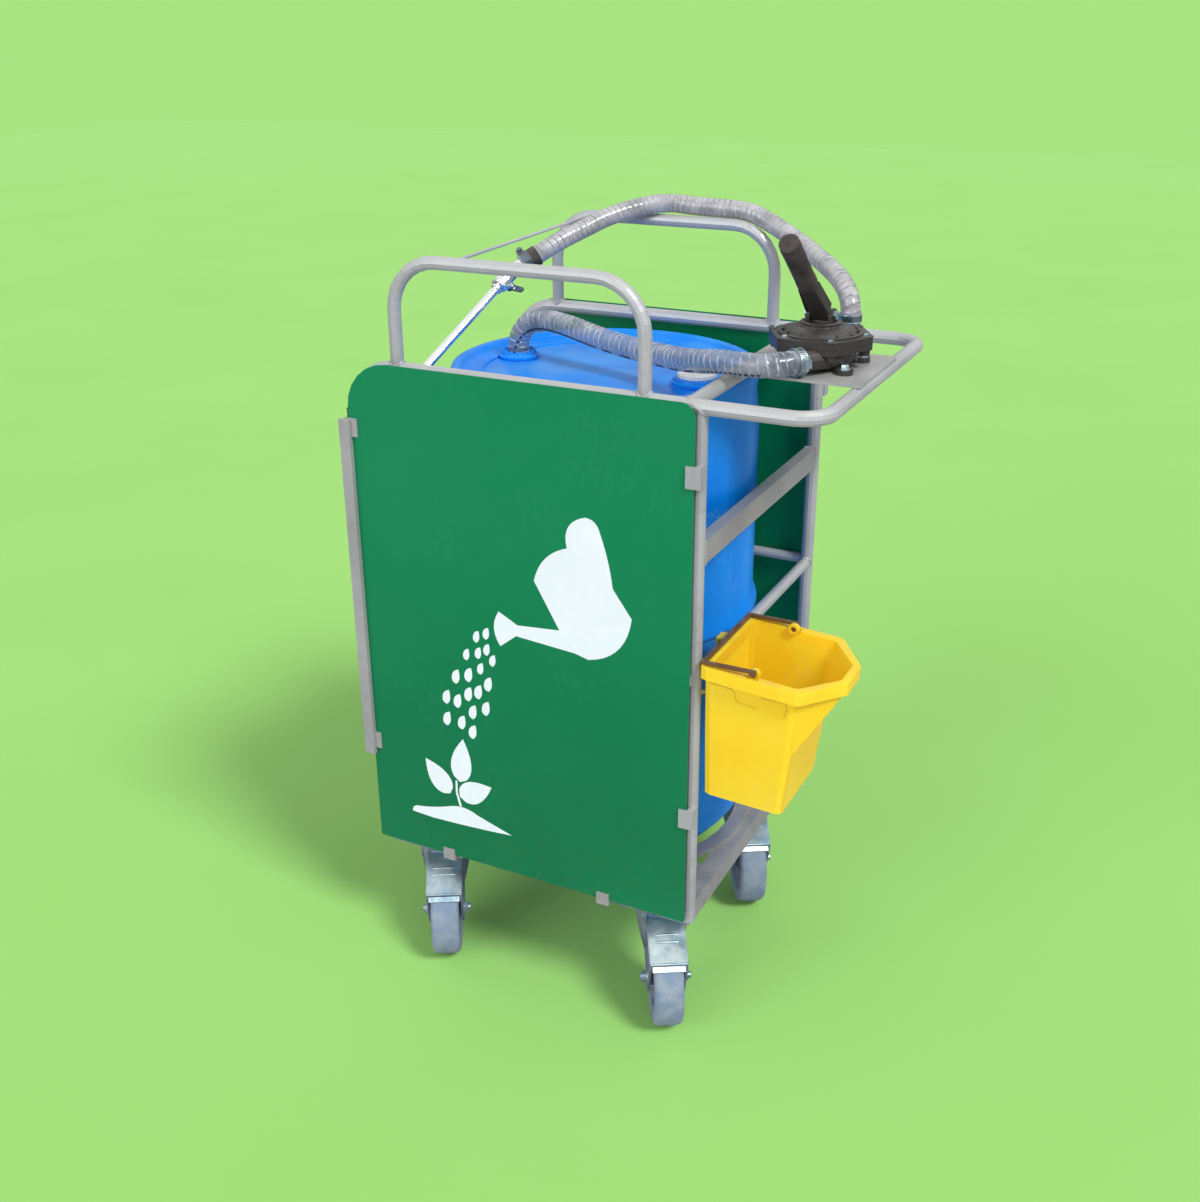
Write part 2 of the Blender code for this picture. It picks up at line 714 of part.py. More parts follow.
def make_valve_lever(trolley):
    """A short wing that turns on the spindle."""
    axis = spindle_axis()
    pivot = LANCE_TOP + LANCE_DOWN * SPINDLE_FROM_TOP + axis * (SPINDLE_HEIGHT + GAP)
    along = LANCE_DOWN.cross(axis).normalized()
    axes = Matrix((along, axis.cross(along), axis)).transposed().to_4x4()
    wing = rod((0, 0, 0), (0, 0, 0.005), 0.0075)
    corners = ((-0.004, -0.0055), (0.030, -0.0045), (0.030, 0.0045), (-0.004, 0.0055))
    outline = rounded(corners, (0.003,) * 4, steps=2)
    join(wing, prism(outline, Z_AXIS, 0.0008, 0.0042))
    keep("valve_lever", moved(wing, pivot, axes), "zinc", trolley, pivot)


def make_lance_holder(trolley):
    """A ring that the lance slides through, on an arm with a split collar round the near rear upright."""
    centre = LANCE_TOP + LANCE_DOWN * HOLDER_FROM_TOP
    half = LANCE_DOWN * 0.008
    ring = rod(centre - half, centre + half, LANCE_RADIUS + 0.004, sides=16)
    upright = Vector((-UPRIGHT_X, -UPRIGHT_Y, centre.z))
    rise = Vector((0, 0, 0.007))
    collar = rod(upright - rise, upright + rise, TUBE_RADIUS + 0.004, sides=16)
    arm = rod(upright, centre, 0.006)
    join(ring, collar, arm)
    cut(
        ring,
        rod(centre - 3 * half, centre + 3 * half, LANCE_RADIUS + 2 * GAP, sides=24),
        rod(upright - 3 * rise, upright + 3 * rise, COPE_RADIUS + GAP, sides=24),
    )
    keep("lance_holder", ring, "black rubber", trolley)


def hexagon(radius, corner_radius):
    """A six-sided outline round the pump's middle, one corner towards +X."""
    corners = []
    for number in range(6):
        turn = number * math.tau / 6
        corners.append((PUMP_AT[0] + radius * math.cos(turn), PUMP_AT[1] + radius * math.sin(turn)))
    return rounded(corners, (corner_radius,) * 6, steps=3)


def make_pump_body(trolley):
    """The lower casting: flange, bowl, four feet, the inlet stub and the outlet elbow."""
    foot_z = PUMP_PLATE_Z[1] + GAP
    x, y = PUMP_AT
    body = prism(hexagon(FLANGE_RADIUS, 0.012), Z_AXIS, FLANGE_Z[0], FLANGE_Z[1])
    bowl = rod((x, y, foot_z), (x, y, FLANGE_Z[1] - 0.001), 0.046, sides=20, end_radius=0.062)
    join(body, bowl)
    for foot_x in (-0.048, 0.052):
        for foot_y in (-0.042, 0.042):
            at = (x + foot_x, y + foot_y)
            foot = rod((*at, foot_z), (*at, foot_z + 0.007), 0.013, sides=12)
            inwards = (x + foot_x / 2, y + foot_y / 2, foot_z + 0.010)
            neck = rod((*at, foot_z), inwards, 0.009, sides=8)
            join(body, foot, cut(neck, box((0.2, -0.2, 1.0), (0.6, 0.2, foot_z))))
            join(body, rod((*at, foot_z + 0.006), (*at, foot_z + 0.011), 0.0055, sides=6))
    end = Vector(SUCTION_ROUTE[-1])
    into = (end - Vector(SUCTION_ROUTE[-2])).normalized()
    stub = end + into * GAP * 2
    block_at = stub + into * 0.012
    inlet = rod(stub, stub + into * 0.060, INLET_STUB_RADIUS, sides=16)
    block = rod(block_at, block_at + into * 0.030, INLET_STUB_RADIUS, sides=8)
    join(body, inlet, block)
    outlet = Vector(DISCHARGE_ROUTE[0]) - Vector((0, 0, GAP * 2))
    low = outlet - Vector((0, 0, 0.020))
    path = bent((low - Vector((0, 0.060, 0)), low, outlet), (0.014,))
    join(body, tube(path, OUTLET_RADIUS))
    keep("pump_body", body, "black casting", trolley)


def make_pump_cover(trolley):
    """The upper casting: flange with six bolts, a stepped dome and two ears for the lever's pin."""
    x, y = PUMP_AT
    cover = prism(hexagon(FLANGE_RADIUS, 0.012), Z_AXIS, FLANGE_Z[2], FLANGE_Z[3])
    profile = (
        (0.0, 1.1405),
        (0.027, 1.1405),
        (0.031, 1.1365),
        (0.043, 1.1350),
        (0.050, 1.1315),
        (0.056, FLANGE_Z[3] - 0.001),
        (0.0, FLANGE_Z[3] - 0.001),
    )
    join(cover, moved(turned(profile, 24), (x, y, 0)))
    for number in range(6):
        turn = number * math.tau / 6
        at = (x + 0.068 * math.cos(turn), y + 0.068 * math.sin(turn))
        join(cover, rod((*at, FLANGE_Z[3] - 0.001), (*at, FLANGE_Z[3] + 0.0012), 0.0058, sides=6))
    for side in SIDES.values():
        outer = PIVOT.x + side * 0.0195
        ear_x = sorted((PIVOT.x + side * 0.0140, outer))
        corners = ((y - 0.012, 1.138), (y + 0.012, 1.138), (y + 0.012, 1.161), (y - 0.012, 1.161))
        outline = rounded(corners, (0.0005, 0.0005, 0.009, 0.009), steps=3)
        join(cover, prism(outline, X_AXIS, *ear_x))
    pin_hole = rod((PIVOT.x - 0.04, y, PIVOT.z), (PIVOT.x + 0.04, y, PIVOT.z), 0.0043, sides=16)
    keep("pump_cover", cut(cover, pin_hole), "black casting", trolley)


def make_pivot_pin(trolley):
    """The bolt through the ears and the lever: a plain shank, a head and a nut."""
    ends = (PIVOT.x - 0.0235, PIVOT.x + 0.0235)
    pin = rod((ends[0], PIVOT.y, PIVOT.z), (ends[1], PIVOT.y, PIVOT.z), 0.0040)
    for side, end in zip(SIDES.values(), ends):
        head = rod((end - side * 0.0035, PIVOT.y, PIVOT.z), (end, PIVOT.y, PIVOT.z), 0.0070, sides=6)
        join(pin, head)
    keep("pivot_pin", pin, "zinc", trolley, PIVOT)


def make_lever(trolley):
    """A cast arm that tapers up to a round bar, and the sleeve over that bar."""
    along = (LEVER_END - PIVOT).normalized()
    length = (LEVER_END - PIVOT).length
    across = Vector((1, 0, 0))
    across -= across.dot(along) * along
    across.normalize()
    axes = Matrix((along, along.cross(across) * -1, across)).transposed().to_4x4()
    half = 0.0135
    hub = rod((0, 0, -half), (0, 0, half), 0.0095, sides=16)
    outline = ((-0.004, -0.009), (0.070, -0.0075), (0.078, 0.0075), (-0.004, 0.009))
    arm = prism(outline, Z_AXIS, -0.0105, 0.0105)
    cheeks = ((0.018, -0.0175), (0.018, 0.0175), (0.080, 0.0135), (0.080, -0.0135))
    flare = prism(cheeks, Y_AXIS, -0.008, 0.008)
    bar = rod((0.066, 0, 0), (length - 0.003, 0, 0), 0.0085)
    arm = join(hub, arm, flare, bar)
    cut(arm, rod((0, 0, -0.03), (0, 0, 0.03), 0.0043, sides=16))
    keep("pump_lever", moved(arm, PIVOT, axes), "black casting", trolley, PIVOT)
    sleeve = rod((0.083, 0, 0), (length + 0.002, 0, 0), GRIP_RADIUS, sides=16)
    cut(sleeve, rod((0.05, 0, 0), (length - 0.003 + 2 * GAP, 0, 0), 0.0085 + 2 * GAP, sides=16))
    keep("lever_grip", moved(sleeve, PIVOT, axes), "black rubber", trolley, PIVOT)


def bucket_outline(back, front, nose, half, nose_half, top, slope):
    """One level of the bucket: square at the back, with a blunt nose. It slopes down towards the nose."""
    corners = (
        (back, -half),
        (front, -half),
        (nose, -nose_half),
        (nose, nose_half),
        (front, half),
        (back, half),
    )
    radii = (0.012, 0.010, 0.008, 0.008, 0.010, 0.012)
    level = []
    for u, v in rounded(corners, radii, steps=2):
        level.append((BUCKET_BACK_X + u, BUCKET_Y + v, top - slope * u))
    return level


def make_bucket(trolley):
    """A thin tapered shell with a turned-down rim, a lug on each side and two hooks over the cross tube."""
    floor = 0.460
    outside = (
        (0.002, 0.126, 0.128, 0.0800, 0.0740, floor, 0.05),
        (0.002, 0.138, 0.140, 0.0865, 0.0790, 0.566, 0.06),
        (0.002, 0.143, 0.190, 0.0895, 0.0330, 0.650, 0.075),
        (0.002, 0.144, 0.193, 0.0905, 0.0320, BUCKET_TOP - SKIRT_DROP + 0.003, RIM_SLOPE),
        (0.000, 0.152, 0.203, 0.1035, 0.0310, BUCKET_TOP - SKIRT_DROP, RIM_SLOPE),
        (0.000, 0.153, 0.203, 0.1040, 0.0310, BUCKET_TOP, RIM_SLOPE),
    )
    levels = [bucket_outline(*level) for level in outside]
    inside = (
        (0.014, 0.146, 0.192, 0.0890, 0.0270, BUCKET_TOP, RIM_SLOPE),
        (0.006, 0.139, 0.186, 0.0860, 0.0300, 0.652, 0.075),
        (0.006, 0.134, 0.136, 0.0830, 0.0750, 0.569, 0.06),
        (0.006, 0.122, 0.124, 0.0765, 0.0700, floor + WALL, 0.05),
    )
    levels += [bucket_outline(*level) for level in inside]
    bucket = lofted(levels)
    pivot = BAIL_PIVOT
    for side in SIDES.values():
        ends = (BUCKET_Y + side * 0.0822, BUCKET_Y + side * 0.0893)
        join(bucket, rod((pivot.x, ends[0], pivot.z), (pivot.x, ends[1], pivot.z), 0.0090, sides=16))
    for v in HOOKS_V:
        join(bucket, bucket_hook(BUCKET_Y + v))
    hole_y = (BUCKET_Y - 0.0945, BUCKET_Y + 0.0945)
    pin_hole = rod((pivot.x, hole_y[0], pivot.z), (pivot.x, hole_y[1], pivot.z), 0.0041)
    for side in SIDES.values():
        y = BUCKET_Y + side * 0.0935
        room = box((0.300, y - 0.0040, 0.6805), (0.3925, y + 0.0040, 0.700))
        swing = rod((pivot.x, y - 0.0040, pivot.z), (pivot.x, y + 0.0040, pivot.z), 0.0097, sides=24)
        cut(bucket, room, swing)
    keep("bucket", cut(bucket, pin_hole), "yellow plastic", trolley)


def bucket_hook(y):
    """A hook moulded on the bucket's back: it goes over the mid cross tube and down behind it."""
    top = MID_Z + MID_CROSS_RADIUS + GAP
    back = UPRIGHT_X - MID_CROSS_RADIUS - 0.0005
    low = MID_Z - 0.006
    outline = (
        (BUCKET_BACK_X + 0.004, top + 0.003),
        (back - 0.0040, top + 0.003),
        (back - 0.0040, low),
        (back, low),
        (back, top),
        (BUCKET_BACK_X + 0.004, top),
    )
    return prism(outline, Y_AXIS, y - 0.012, y + 0.012)


def make_bail(trolley):
    """A flat strip bent to a U, folded back on the rim, with a pin at each end in the bucket's lugs."""
    thick = 0.0042
    arm_half = 0.0035
    lift = BAIL_PIVOT.z + 0.0040
    back_x = BUCKET_BACK_X + 0.0005
    bail = box((back_x, BUCKET_Y - 0.097, lift), (back_x + 0.0075, BUCKET_Y + 0.097, lift + thick))
    for side in SIDES.values():
        y = BUCKET_Y + side * 0.0935
        arm = box((back_x, y - arm_half, lift), (BAIL_PIVOT.x + 0.004, y + arm_half, lift + thick))
        tongue_x = (BAIL_PIVOT.x - 0.0045, BAIL_PIVOT.x + 0.0045)
        tongue = box(
            (tongue_x[0], y - arm_half + 0.0005, BAIL_PIVOT.z - 0.0005),
            (tongue_x[1], y + arm_half - 0.0005, lift + thick - 0.0005),
        )
        pin = rod((BAIL_PIVOT.x, y, BAIL_PIVOT.z), (BAIL_PIVOT.x, y - side * 0.0110, BAIL_PIVOT.z), 0.0032)
        join(bail, arm, tongue, pin)
    keep("bail", bail, "brown plastic", trolley, BAIL_PIVOT)


def make_fork():
    """The swivelling fork in its own frame: X towards the wheel, Y along the axle, Z up."""
    crown_top = 0.1877
    profile = (
        (0.0, crown_top),
        (0.042, crown_top),
        (0.0445, 0.178),
        (0.0435, 0.160),
        (0.0400, 0.138),
        (0.0355, 0.116),
        (0.0312, 0.098),
        (0.0, 0.098),
    )
    fork = turned(profile, 24)
    room = WHEEL_HALF + 0.003
    cut(fork, box((-0.06, -room + 0.0003, 0.09), (0.06, room - 0.0003, 0.1797)))
    cheek = (
        (-0.034, 0.184),
        (0.040, 0.184),
        (0.109, 0.1465),
        (0.108, 0.134),
        (0.075, 0.066),
        (0.055, 0.060),
        (0.037, 0.066),
        (-0.010, 0.125),
        (-0.034, 0.165),
    )
    for side in SIDES.values():
        join(fork, prism(cheek, Y_AXIS, *sorted(side * y for y in CHEEK)))
    web = (
        (0.030, 0.1870),
        (0.042, 0.1870),
        (0.1105, 0.1475),
        (0.1105, 0.1445),
        (0.040, 0.1845),
        (0.030, 0.1845),
    )
    join(fork, prism(web, Y_AXIS, -0.0300, 0.0300))
    hole_radius = AXLE_RADIUS + 2 * GAP
    return cut(fork, rod((TRAIL, -0.05, WHEEL_RADIUS), (TRAIL, 0.05, WHEEL_RADIUS), hole_radius, sides=16))


def make_axle():
    """The axle bolt: a shank right through the fork, a round head and a nut outside the cheeks."""
    axle = rod((0, -0.0425, 0), (0, 0.0425, 0), AXLE_RADIUS)
    head = rod((0, -0.0385, 0), (0, -CHEEK[1] - GAP, 0), 0.0095)
    nut = rod((0, CHEEK[1] + GAP, 0), (0, 0.0375, 0), 0.0098, sides=6)
    return join(axle, head, nut)


def across_axle(profile):
    """A ring's profile mirrored about the wheel's middle plane, as one closed loop."""
    return (*profile, *((radius, -offset) for radius, offset in reversed(profile)))


def make_hub():
    profile = (
        (AXLE_RADIUS + 3 * GAP, WHEEL_HALF + 0.0015),
        (0.014, WHEEL_HALF + 0.0015),
        (0.018, 0.016),
        (0.044, 0.016),
        (0.048, 0.022),
        (0.0555, 0.022),
    )
    return wheel_part(profile, 18)


def make_tyre():
    """Its tread is flat across, and one flat of its outline lies on the floor."""
    outer = WHEEL_RADIUS / math.cos(math.pi / TYRE_SIDES)
    profile = (
        (0.0564, 0.0215),
        (0.063, WHEEL_HALF),
        (0.072, WHEEL_HALF),
        (outer - 0.0015, 0.0190),
        (outer, 0.0100),
    )
    return wheel_part(profile, TYRE_SIDES)


def wheel_part(profile, sides):
    """Turned about Y, with the middle of a flat straight below the axle."""
    piece = turned(across_axle(profile), sides, ring=True)
    upright = Matrix.Rotation(math.pi / 2, 4, "X")
    half_step = Matrix.Rotation(math.pi / sides, 4, "Y")
    down = Matrix.Rotation(math.pi / 2, 4, "Y")
    piece.data.transform(half_step @ down @ upright)
    return piece


def copy_of(piece, name, holder, place=(0, 0, 0)):
    twin = bpy.data.objects.new(name, piece.data)
    bpy.context.scene.collection.objects.link(twin)
    twin.location = place
    twin.parent = holder
    return twin


def make_castors(trolley):
    """Four alike. Each turns about its own upright axis, with its wheel trailing behind that axis."""
    axle_at = (TRAIL, 0, WHEEL_RADIUS)
    plate = box((-0.070, -0.055, 0.2007), (0.070, 0.055, 0.2047))
    join(plate, rod((0, 0, 0.1880), (0, 0, 0.2020), 0.038, sides=24))
    patterns = {
        "plate": (keep("castor_plate", plate, "zinc", None), None),
        "fork": (keep("castor_fork", make_fork(), "zinc", None), (0, 0, 0)),
        "axle": (keep("castor_axle", make_axle(), "zinc", None), axle_at),
        "hub": (keep("castor_hub", make_hub(), "hub plastic", None), axle_at),
        "tyre": (keep("castor_tyre", make_tyre(), "grey tyre", None), axle_at),
    }
    for end, x in (("front", SWIVEL_X), ("rear", -SWIVEL_X)):
        for name, side in SIDES.items():
            at = (x, side * SWIVEL_Y, 0)
            swivel = empty(f"swivel_{end}_{name}", trolley, at, TRAIL_TURN)
            for part, (pattern, place) in patterns.items():
                if place is None:
                    copy_of(pattern, f"castor_{part}_{end}_{name}", trolley, at)
                else:
                    copy_of(pattern, f"castor_{part}_{end}_{name}", swivel, place)
    for pattern, _ in patterns.values():
        bpy.data.objects.remove(pattern)


def main():
    clear_scene()
    trolley = empty("trolley", None, TROLLEY_AT)
    make_main_rail(trolley)
    for name, side in SIDES.items():
        make_front_upright(trolley, name, side)
        make_guard_loop(trolley, name, side)
        make_mid_rail(trolley, name, side)
        make_panel(trolley, name, side)
        make_clip_bar(trolley, name, side)
    make_stay_rod(trolley)
    make_cross_members(trolley)
    make_base(trolley)
    make_seat_ring(trolley)
    make_pump_plate(trolley)
    make_drum(trolley)
    make_bung_cap(trolley)
    make_hoses(trolley)
    make_clamp(trolley, "suction_clamp", SUCTION_ROUTE, True, SUCTION_RADIUS, (0.6, -0.8, 0.1))
    make_clamp(trolley, "discharge_clamp_pump", DISCHARGE_ROUTE, False, DISCHARGE_RADIUS, (-0.4, 1, 0))
    make_clamp(trolley, "discharge_clamp_lance", DISCHARGE_ROUTE, True, DISCHARGE_RADIUS, (-0.8, 0.2, 0.5))
    make_lance(trolley)
    make_valve_lever(trolley)
    make_lance_holder(trolley)
    make_pump_body(trolley)
    make_pump_cover(trolley)
    make_pivot_pin(trolley)
    make_lever(trolley)
    make_bucket(trolley)
    make_bail(trolley)
    make_castors(trolley)


main()
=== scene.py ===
import bisect
import math

import bmesh
import bpy
from mathutils import Matrix, Vector


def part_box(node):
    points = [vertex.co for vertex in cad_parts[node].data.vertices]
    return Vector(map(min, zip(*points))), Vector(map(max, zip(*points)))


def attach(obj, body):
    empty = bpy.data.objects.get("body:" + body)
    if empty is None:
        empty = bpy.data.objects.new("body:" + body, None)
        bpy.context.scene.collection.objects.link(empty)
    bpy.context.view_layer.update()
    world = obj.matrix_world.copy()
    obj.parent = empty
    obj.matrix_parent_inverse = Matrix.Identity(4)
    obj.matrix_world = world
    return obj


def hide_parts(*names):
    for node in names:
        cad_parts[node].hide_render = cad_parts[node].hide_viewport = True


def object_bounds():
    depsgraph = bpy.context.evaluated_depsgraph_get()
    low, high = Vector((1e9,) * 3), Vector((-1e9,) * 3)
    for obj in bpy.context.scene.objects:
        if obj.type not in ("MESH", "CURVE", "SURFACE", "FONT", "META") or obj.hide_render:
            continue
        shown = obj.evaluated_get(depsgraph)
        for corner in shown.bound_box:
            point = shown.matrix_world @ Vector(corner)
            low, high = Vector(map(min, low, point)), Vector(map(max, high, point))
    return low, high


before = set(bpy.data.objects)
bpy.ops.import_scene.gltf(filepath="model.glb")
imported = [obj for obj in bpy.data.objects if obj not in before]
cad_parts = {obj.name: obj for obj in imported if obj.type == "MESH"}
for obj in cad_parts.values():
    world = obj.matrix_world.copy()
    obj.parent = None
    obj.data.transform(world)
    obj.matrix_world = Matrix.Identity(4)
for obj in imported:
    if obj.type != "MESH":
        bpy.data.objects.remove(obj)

cad_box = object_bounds()

# The camera stands to the right of the trolley and a little above it, where the photographer stood. Its lens
# is written for the long side of the picture.
LENS_IN_PIXELS = 1379.4
LONG_SIDE_PIXELS = 1202
CAMERA_AT = (0.8768, -1.9266, 1.5724)
YAW, PITCH, ROLL = 0.46507, 0.41275, -0.00558

looking = Vector((-math.sin(YAW) * math.cos(PITCH), math.cos(YAW) * math.cos(PITCH), -math.sin(PITCH)))
level_right = Vector((math.cos(YAW), math.sin(YAW), 0))
level_up = level_right.cross(looking)
right = math.cos(ROLL) * level_right + math.sin(ROLL) * level_up
up = math.cos(ROLL) * level_up - math.sin(ROLL) * level_right
camera = bpy.data.objects.new("camera", bpy.data.cameras.new("camera"))
camera.data.sensor_width = 36
camera.data.lens = LENS_IN_PIXELS * camera.data.sensor_width / LONG_SIDE_PIXELS
camera.matrix_world = Matrix.Translation(CAMERA_AT) @ Matrix((right, up, -looking)).transposed().to_4x4()
bpy.context.scene.collection.objects.link(camera)
bpy.context.scene.camera = camera
bpy.context.scene.view_settings.view_transform = "Standard"


# The two hoses are clear soft plastic with a hard white spiral moulded into the wall. They are pushed over
# the stubs of the pump, and the suction hose goes down through a collar into the drum. The suction hose
# carries a broken dark line along its underside.
SUCTION_ROUTE = (
    (-0.2535, 0.0319, 1.0285),
    (-0.2535, 0.0319, 1.0430),
    (-0.2507, 0.0318, 1.0590),
    (-0.2428, 0.0316, 1.0735),
    (-0.2305, 0.0311, 1.0845),
    (-0.2150, 0.0302, 1.0908),
    (-0.1975, 0.0285, 1.0927),
    (-0.1760, 0.0250, 1.0918),
    (-0.1485, 0.0180, 1.0890),
    (-0.1165, 0.0085, 1.0845),
    (-0.0815, -0.0025, 1.0800),
    (-0.0445, -0.0140, 1.0770),
    (-0.0065, -0.0265, 1.0755),
    (0.0315, -0.0415, 1.0760),
    (0.0685, -0.0640, 1.0790),
    (0.1015, -0.0870, 1.0840),
    (0.1315, -0.1055, 1.0900),
    (0.1605, -0.1185, 1.0952),
    (0.1915, -0.1250, 1.0970),
    (0.2195, -0.1255, 1.0975),
    (0.2425, -0.1185, 1.0990),
    (0.2605, -0.1040, 1.0998),
    (0.2743, -0.0850, 1.0998),
)
DISCHARGE_ROUTE = (
    (0.285, 0.0995, 1.1188),
    (0.285, 0.0995, 1.1385),
    (0.2795, 0.1055, 1.1565),
    (0.2655, 0.123, 1.17),
    (0.2445, 0.149, 1.18),
    (0.2165, 0.18, 1.189),
    (0.1855, 0.211, 1.1985),
    (0.153, 0.2385, 1.209),
    (0.1195, 0.262, 1.22),
    (0.0865, 0.2785, 1.2315),
    (0.0545, 0.285, 1.243),
    (0.0225, 0.285, 1.2475),
    (-0.0115, 0.285, 1.2485),
    (-0.0515, 0.285, 1.2495),
    (-0.0915, 0.2785, 1.2525),
    (-0.1255, 0.2585, 1.2492),
    (-0.154, 0.232, 1.242),
    (-0.1785, 0.2025, 1.2325),
    (-0.1995, 0.1715, 1.2195),
    (-0.217, 0.1425, 1.2085),
    (-0.2315, 0.1225, 1.1985),
    (-0.2518, 0.0985, 1.1825),
    (-0.2709, 0.0805, 1.1686),
)


def curve_point(a, b, c, d, part):
    """A point between b and c, on the curve whose speed follows the square root of each distance."""
    ta = 0
    tb = ta + math.sqrt((b - a).length)
    tc = tb + math.sqrt((c - b).length)
    td = tc + math.sqrt((d - c).length)
    t = tb + (tc - tb) * part
    ab = a.lerp(b, (t - ta) / (tb - ta))
    bc = b.lerp(c, (t - tb) / (tc - tb))
    cd = c.lerp(d, (t - tc) / (td - tc))
    abc = ab.lerp(bc, (t - ta) / (tc - ta))
    bcd = bc.lerp(cd, (t - tb) / (td - tb))
    return abc.lerp(bcd, (t - tb) / (tc - tb))


def hose_line(route, spacing):
    """Points a short way apart on a smooth curve through the hose's route."""
    route = [Vector(point) for point in route]
    ends = [2 * route[0] - route[1], *route, 2 * route[-1] - route[-2]]
    line = []
    for a, b, c, d in zip(ends, ends[1:], ends[2:], ends[3:]):
        pieces = max(1, round((c - b).length / spacing))
        line += [curve_point(a, b, c, d, step / pieces) for step in range(pieces)]
    return [*line, route[-1]]


def carried_along(line):
    """For each point of a line: the point, its direction, and two sides square to it that turn little."""
    directions = []
    for number in range(len(line)):
        ahead = line[min(number + 1, len(line) - 1)] - line[max(number - 1, 0)]
        directions.append(ahead.normalized())
    side = directions[0].orthogonal().normalized()
    frames = []
    for place, direction in zip(line, directions):
        side = (side - side.dot(direction) * direction).normalized()
        frames.append((place, direction, side, direction.cross(side)))
    return frames


def travelled(line):
    """How far along a line each of its points lies."""
    lengths = [0.0]
    for before, after in zip(line, line[1:]):
        lengths.append(lengths[-1] + (after - before).length)
    return lengths


def at_length(frames, lengths, along):
    """The frame at a length along the line, between the two that stand around it."""
    along = min(max(along, 0), lengths[-1])
    number = max(1, bisect.bisect_left(lengths, along))
    part = (along - lengths[number - 1]) / (lengths[number] - lengths[number - 1])
    first, second = frames[number - 1], frames[number]
    place = first[0].lerp(second[0], part)
    direction = first[1].lerp(second[1], part).normalized()
    side = first[2].lerp(second[2], part)
    side = (side - side.dot(direction) * direction).normalized()
    return place, direction, side, direction.cross(side)


def new_piece(name, bm, body, slot, *materials):
    """A shaded object from a bmesh. It rides on a body. Its slot argument is not used."""
    mesh = bpy.data.meshes.new(name)
    bm.to_mesh(mesh)
    bm.free()
    mesh.shade_smooth()
    mesh.set_sharp_from_angle(angle=math.radians(40))
    piece = bpy.data.objects.new(name, mesh)
    bpy.context.scene.collection.objects.link(piece)
    for material in materials:
        mesh.materials.append(material)
    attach(piece, body)
    return piece


def tone(red, green, blue):
    """An 8-bit screen colour as a shader colour."""
    return (*(((channel / 255 + 0.055) / 1.055) ** 2.4 for channel in (red, green, blue)), 1.0)


def feed(tree, socket, value):
    """Links a socket to another node's result, or sets its plain value. None leaves it as it is."""
    if isinstance(value, bpy.types.NodeSocket):
        tree.links.new(value, socket)
    elif value is not None:
        socket.default_value = value


def feed_all(node, **values):
    """Feeds a node's sockets by name, with an underscore for each space."""
    for name, value in values.items():
        feed(node.id_data, node.inputs[name.replace("_", " ")], value)


def put(tree, kind, feeds=(), **more):
    """A new shader node. A lower-case name is one of its settings, and a capital one is a socket."""
    made = tree.nodes.new("ShaderNode" + kind)
    settings = {name: value for name, value in more.items() if name[0].islower()}
    for name, value in settings.items():
        setattr(made, name, value)
    for number, value in enumerate(feeds):
        feed(tree, made.inputs[number], value)
    feed_all(made, **{name: value for name, value in more.items() if name not in settings})
    return made


def calc(tree, operation, *values):
    """The result of a sum on values."""
    return put(tree, "Math", values, operation=operation).outputs[0]


def mixed(tree, factor, first, second):
    """Two colours mixed by a factor."""
    made = put(tree, "Mix", (factor,), data_type="RGBA")
    feed(tree, made.inputs[6], first)
    feed(tree, made.inputs[7], second)
    return made.outputs[2]


def layered(tree, colour, *layers):
    """A colour with others laid over it in turn, each where its mask says."""
    for mask, over in layers:
        colour = mixed(tree, mask, colour, over)
    return colour


def stepped(tree, value, low, high, out_low=0.0, out_high=1.0):
    """A value taken smoothly from one range to another, and held at its ends."""
    made = put(tree, "MapRange", interpolation_type="SMOOTHSTEP", Value=value, From_Min=low, From_Max=high)
    feed_all(made, To_Min=out_low, To_Max=out_high)
    return made.outputs[0]


def on_object(tree):
    """The place on a piece, in metres."""
    return put(tree, "TexCoord").outputs["Object"]


def noise(tree, scale, detail, roughness=None, place=None):
    """Cloudy noise from 0 to 1 over a piece, or over another place that is given."""
    where = on_object(tree) if place is None else place
    return put(tree, "TexNoise", Vector=where, Scale=scale, Detail=detail, Roughness=roughness).outputs["Fac"]


def new_group(name, takes, gives):
    """An empty node group with named sockets: its tree, what comes in, and where its results go."""
    tree = bpy.data.node_groups.new(name, "ShaderNodeTree")
    for label, value in takes.items():
        socket = tree.interface.new_socket(label, in_out="INPUT", socket_type="NodeSocketFloat")
        socket.default_value = value
    for label, kind in gives.items():
        tree.interface.new_socket(label, in_out="OUTPUT", socket_type="NodeSocket" + kind)
    return tree, tree.nodes.new("NodeGroupInput").outputs, tree.nodes.new("NodeGroupOutput").inputs


def use(tree, group, **values):
    """Places a node group with its own values: its results."""
    made = tree.nodes.new("ShaderNodeGroup")
    made.node_tree = group
    feed_all(made, **values)
    return made.outputs


def new_look(name, colour, roughness, metallic=0.0, **plain):
    """A material with its shader's plain values set: the material, its tree and its shader."""
    material = bpy.data.materials.new(name)
    material.use_nodes = True
    shader = material.node_tree.nodes["Principled BSDF"]
    feed_all(shader, Base_Color=colour, Roughness=roughness, Metallic=metallic, **plain)
    return material, material.node_tree, shader


def raise_bump(shader, height, strength, distance):
    """Lets the light fall on a surface as if it rose and fell with a height."""
    bump = put(shader.id_data, "Bump", Height=height, Strength=strength, Distance=distance)
    feed_all(shader, Normal=bump.outputs["Normal"])


